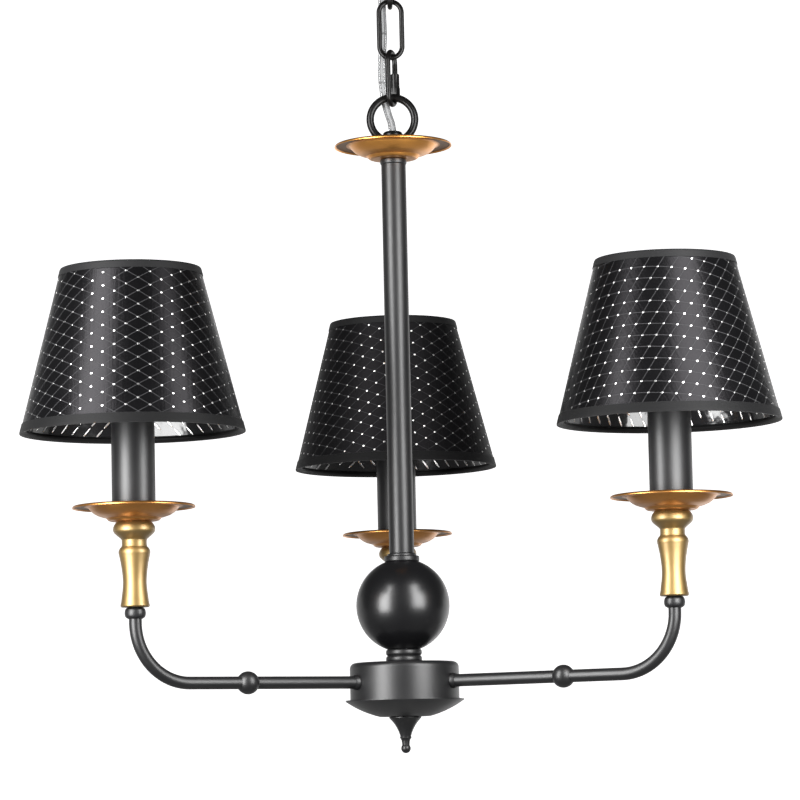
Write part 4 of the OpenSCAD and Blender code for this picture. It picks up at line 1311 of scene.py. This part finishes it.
    def mark(self, azimuth, z, depth, angle):
        """Place, outward direction and thread direction of a mark"""
        world = self.turn + azimuth
        place = Vector(self.on_cone(world, z, depth)) * MM
        out = Vector((math.cos(world), math.sin(world), self.slope)).normalized()
        up = Vector((-self.slope * math.cos(world), -self.slope * math.sin(world), 1)).normalized()
        side = Vector((-math.sin(world), math.cos(world), 0))
        return place, out, up * math.cos(angle) + side * math.sin(angle)


class CHANDELIER_OT_carriers(bpy.types.Operator):
    """Bend the wires that carry the shades"""

    bl_idname = "chandelier.carriers"
    bl_label = "Shade wires"

    wire_r, spoke_r = 1.2, 1.0
    fitter_r, fitter_bore, fitter_wall, fitter_edge = 20, 12.55, 1.2, 0.3

    def execute(self, context):
        for k in LAMPS:
            body, finish = f"shade_{k}", shade_wire()
            node, hem = f"shade_carrier_{k}", f"shade_hem_ring_{k}"
            centre = middle(node)
            low, high = heights(node)
            crown, ring_r = high - self.wire_r, self.reach(node, centre)
            path = hoop(centre, ring_r, crown, 90)
            piece = wire(f"shade_top_ring_{k}", [(path, True)], self.wire_r, finish, 14)
            carried(piece, body, finish, [node])
            paths = self.spokes(centre, low, crown, ring_r)
            piece = wire(f"shade_spokes_{k}", paths, self.spoke_r, finish, 12)
            carried(piece, body, finish)
            plate = collar(self.fitter_bore, self.fitter_r, self.fitter_wall, self.fitter_edge)
            made(f"shade_fitter_{k}", [revolve(plate, centre, low, 72)], body, "shade_wire", finish)
            level = sum(heights(hem)) / 2
            path = hoop(centre, self.reach(hem, centre), level, 120)
            piece = wire(f"shade_hem_wire_{k}", [(path, True)], self.wire_r, finish, 14)
            carried(piece, body, finish, [hem])
        return {"FINISHED"}

    def reach(self, node, centre):
        """Radius of a ring's wire, from the node's box"""
        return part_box(node)[1].x / MM - centre[0] - self.wire_r

    def spokes(self, centre, low, crown, ring_r):
        """Three bent wires from the fitter ring to the top ring"""
        line = smooth([(17.2, low + 0.75), (19.2, low + 0.9), (21.0, low + 3.4), (ring_r * 0.72, crown - 24),
                       (ring_r - 1.2, crown - 3), (ring_r, crown - 0.4)], 6)
        found = []
        for a in (90, 210, 330):
            c, s = math.cos(math.radians(a)), math.sin(math.radians(a))
            found.append(([(centre[0] + r * c, centre[1] + r * s, z) for r, z in line], False))
        return found


class CHANDELIER_OT_ceiling(bpy.types.Operator):
    """Finish the ceiling canopy and what is inside it"""

    bl_idname = "chandelier.ceiling"
    bl_label = "Ceiling fitting"

    canopy_r, canopy_depth, canopy_wall, canopy_lip = 55, 30, 1, 3
    nipple_r, nipple_bore = 5.0, 3.5
    block_edge, block_step, block_share, screw_apart = 1.2, 0.8, 0.94, 8

    def execute(self, context):
        low = heights("ceiling_canopy")[0]
        shape = revolve(self.canopy(), (0, 0), low + self.canopy_depth, 128)
        made("ceiling_canopy_look", [shape], CEILING_BODY, "satin_black", black_coat(), ["ceiling_canopy"])
        painted(zinc(), "mounting_bracket", "canopy_nuts")
        self.terminal()
        low, high = heights("canopy_nipple")
        shape = revolve(self.nipple(high - low), (0, 0), low, 40)
        made("canopy_nipple_look", [shape], CEILING_BODY, "zinc_steel", zinc(), ["canopy_nipple"])
        painted(clear_jacket(), "canopy_cord")
        return {"FINISHED"}

    def canopy(self):
        """Bowl below a lip that turns in at the ceiling"""
        r, depth, wall = self.canopy_r, self.canopy_depth, self.canopy_wall
        bowl = smooth([(r, -6), (51, -15), (39, -23.4), (22, -28.8), (13, -depth)], 8)
        last = len(bowl) - 1
        inside = [(x - wall * (1 - i / last), z + wall) for i, (x, z) in enumerate(bowl)][::-1]
        rounded_lip = eased([(r - self.canopy_lip, 0), (r, 0), (r, -5.5)], 0.4)[:10]
        floor = [(ROD_HOLE, -depth), (ROD_HOLE, wall - depth)]
        return rounded_lip + bowl + floor + inside + [(r - wall, -wall), (r - self.canopy_lip, -wall)]

    def nipple(self, tall):
        root = self.nipple_r - 0.3
        turns = thread(root, self.nipple_r, 0.25, tall - 0.8, 1.0)
        return [(self.nipple_bore, 0), (root, 0)] + turns + [(root, tall), (self.nipple_bore, tall)]

    def terminal(self):
        """Terminal block with a stepped top and two screws with a recess in their heads"""
        low, high = (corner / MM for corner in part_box("ceiling_terminal"))
        x, y = (low.x + high.x) / 2, (low.y + high.y) / 2
        wide, deep = (high.x - low.x) / 2 - self.block_edge, (high.y - low.y) / 2 - self.block_edge
        plan = []
        for side, front, a in ((1, 1, 0), (-1, 1, 90), (-1, -1, 180), (1, -1, 270)):
            plan += arc((side * wide, front * deep), self.block_edge, a, a + 90, 5)
        step = high.z - self.block_step
        upper = [(self.block_share * u, self.block_share * v) for u, v in plan]
        block = [prism(plan, low.z, step, (x, y)), prism(upper, step, high.z - 0.2, (x, y))]
        made("ceiling_terminal_look", block, CEILING_BODY, "terminal_plastic", pale_plastic(),
             ["ceiling_terminal"])
        head = [(0, -0.2), (2.2, -0.2), (2.2, 0.0), (1.9, 0.15), (0.45, 0.15), (0.45, -0.05), (0, -0.05)]
        screws = [revolve(head, (x + side * self.screw_apart / 2, y), high.z - 0.15, 24) for side in (-1, 1)]
        made("terminal_screws", screws, CEILING_BODY, "zinc_steel", zinc())


class CHANDELIER_OT_inside(bpy.types.Operator):
    """Finish the pieces inside the column, the hub and the arms"""

    bl_idname = "chandelier.inside"
    bl_label = "Inside"

    def execute(self, context):
        painted(zinc(), "centre_rod", "hub_nut", "arm_nuts", "lamp_nipples")
        painted(pale_plastic(), "crimp_caps")
        painted(sheath(), "arm_wires")
        painted(clear_jacket(), "stem_cord")
        return {"FINISHED"}


class CHANDELIER_OT_stage(bpy.types.Operator):
    """Set the pale floor, the backdrop and the two softboxes"""

    bl_idname = "chandelier.stage"
    bl_label = "Stage"

    half_width, front, top, bend = 12.0, -5.0, 3.5, 0.4
    # Where each part of the paper's glow is dark and where it is bright
    width_fade, top_fade, foot_fade = (6.5, 1.1), (1.6, 1.3), (-0.85, -0.72)
    wall_side, floor_side, floor_rise, rear = (0.7, 2.2), (0.45, 0.95), (-1.2, -1.6), (1.5, 3.4)

    def execute(self, context):
        stage = settings().stage
        self.cove(stage)
        world = bpy.data.worlds.new("studio")
        world.use_nodes = True
        world.node_tree.nodes["Background"].inputs["Color"].default_value = (1, 1, 1, 1)
        world.node_tree.nodes["Background"].inputs["Strength"].default_value = stage.room
        context.scene.world = world
        self.softbox("left softbox", Vector(stage.left), stage.left_power, stage.left_size)
        self.softbox("right softbox", Vector(stage.right), stage.right_power, stage.right_size)
        context.scene.view_settings.view_transform = "Standard"
        return {"FINISHED"}

    def cove(self, stage):
        """Floor that bends up into the backdrop"""
        start, drop = stage.depth - self.bend, -stage.drop
        profile = [(self.front, drop), (start, drop)]
        profile += arc((start, self.bend + drop), self.bend, -90, 0, 12)[1:] + [(stage.depth, self.top)]
        verts = [(x, y, z) for y, z in profile for x in (-self.half_width, self.half_width)]
        faces = [[2 * i, 2 * i + 1, 2 * i + 3, 2 * i + 2] for i in range(len(profile) - 1)]
        mesh = bpy.data.meshes.new("studio_cove")
        mesh.from_pydata(verts, [], faces)
        mesh.shade_smooth()
        mesh.materials.append(self.paper(stage))
        linked("studio_cove", mesh)

    def paper(self, stage):
        """Pale paper that glows behind the lamp, at its own brightness beside it, and faintly on the floor"""
        finish, tree, shader = new_finish("pale paper", Roughness=0.9, Emission_Strength=stage.backdrop)
        skin = group_in(tree, coat_group(), Colour=(0.8, 0.8, 0.8, 1), Tone=0.02, Gloss=0.9, Uneven=0.0,
                        Grain=3.0)
        tree.links.new(skin.outputs["Colour"], shader.inputs["Base Color"])
        where = tree.nodes.new("ShaderNodeSeparateXYZ")
        tree.links.new(tree.nodes.new("ShaderNodeTexCoord").outputs["Object"], where.inputs[0])
        x, y, z = (where.outputs[axis] for axis in "XYZ")
        across = math_node(tree, "ABSOLUTE", x)
        below_top = self.ramp(tree, z, self.top_fade)
        middle_part = math_node(tree, "MULTIPLY", self.ramp(tree, across, self.width_fade), below_top)
        middle_part = math_node(tree, "MULTIPLY", self.ramp(tree, z, self.foot_fade), middle_part)
        floor_part = math_node(tree, "MULTIPLY", self.ramp(tree, z, self.floor_rise),
                               self.ramp(tree, across, self.floor_side))
        side_part = math_node(tree, "MAXIMUM", self.ramp(tree, across, self.wall_side), floor_part)
        left, right = stage.sides
        beside = math_node(tree, "MULTIPLY_ADD", self.ramp(tree, x, (-1, 1)), right - left, left)
        for part in (side_part, self.ramp(tree, y, self.rear), below_top):
            beside = math_node(tree, "MULTIPLY", part, beside)
        glow = math_node(tree, "MAXIMUM", math_node(tree, "MAXIMUM", middle_part, beside), stage.floor)
        tree.links.new(glow, shader.inputs["Emission Color"])
        return finish

    def ramp(self, tree, value, ends):
        """Soft step from a dark end to a bright one"""
        node = tree.nodes.new("ShaderNodeMapRange")
        node.interpolation_type = "SMOOTHSTEP"
        tree.links.new(value, node.inputs["Value"])
        node.inputs["From Min"].default_value, node.inputs["From Max"].default_value = ends
        return node.outputs["Result"]

    def softbox(self, name, place, power, size):
        light = bpy.data.lights.new(name, "AREA")
        light.shape = "RECTANGLE"
        light.size, light.size_y = size
        light.energy = power
        lamp = linked(name, light)
        lamp.location = place
        lamp.rotation_mode = "QUATERNION"
        lamp.rotation_quaternion = Vector((-place.x, -place.y, 0)).to_track_quat("-Z", "Y")


class CHANDELIER_PT_panel(bpy.types.Panel):
    """Steps and settings of the chandelier"""

    bl_idname = "CHANDELIER_PT_panel"
    bl_label = "Chandelier"
    bl_space_type = "VIEW_3D"
    bl_region_type = "UI"
    bl_category = "Chandelier"

    def draw(self, context):
        for step in STEPS:
            self.layout.operator(step.bl_idname)
        lamp = context.scene.chandelier
        for group in (lamp.finish, lamp.shade, lamp.stage, lamp.view):
            box = self.layout.box()
            for key in group.__annotations__:
                box.prop(group, key)


STEPS = (
    CHANDELIER_OT_camera, CHANDELIER_OT_cord, CHANDELIER_OT_chain, CHANDELIER_OT_column,
    CHANDELIER_OT_dishes, CHANDELIER_OT_arms, CHANDELIER_OT_balusters, CHANDELIER_OT_candles,
    CHANDELIER_OT_shades, CHANDELIER_OT_carriers, CHANDELIER_OT_ceiling, CHANDELIER_OT_inside,
    CHANDELIER_OT_stage,
)
CLASSES = (
    FinishSettings, ShadeSettings, StageSettings, ViewSettings, ChandelierSettings, *STEPS,
    CHANDELIER_PT_panel,
)


def register():
    for c in CLASSES:
        bpy.utils.register_class(c)
    bpy.types.Scene.chandelier = PointerProperty(type=ChandelierSettings)


def unregister():
    del bpy.types.Scene.chandelier
    for c in reversed(CLASSES):
        bpy.utils.unregister_class(c)


def main():
    register()
    for step in STEPS:
        group, name = step.bl_idname.split(".")
        getattr(getattr(bpy.ops, group), name)()


if __name__ == "__main__":
    main()
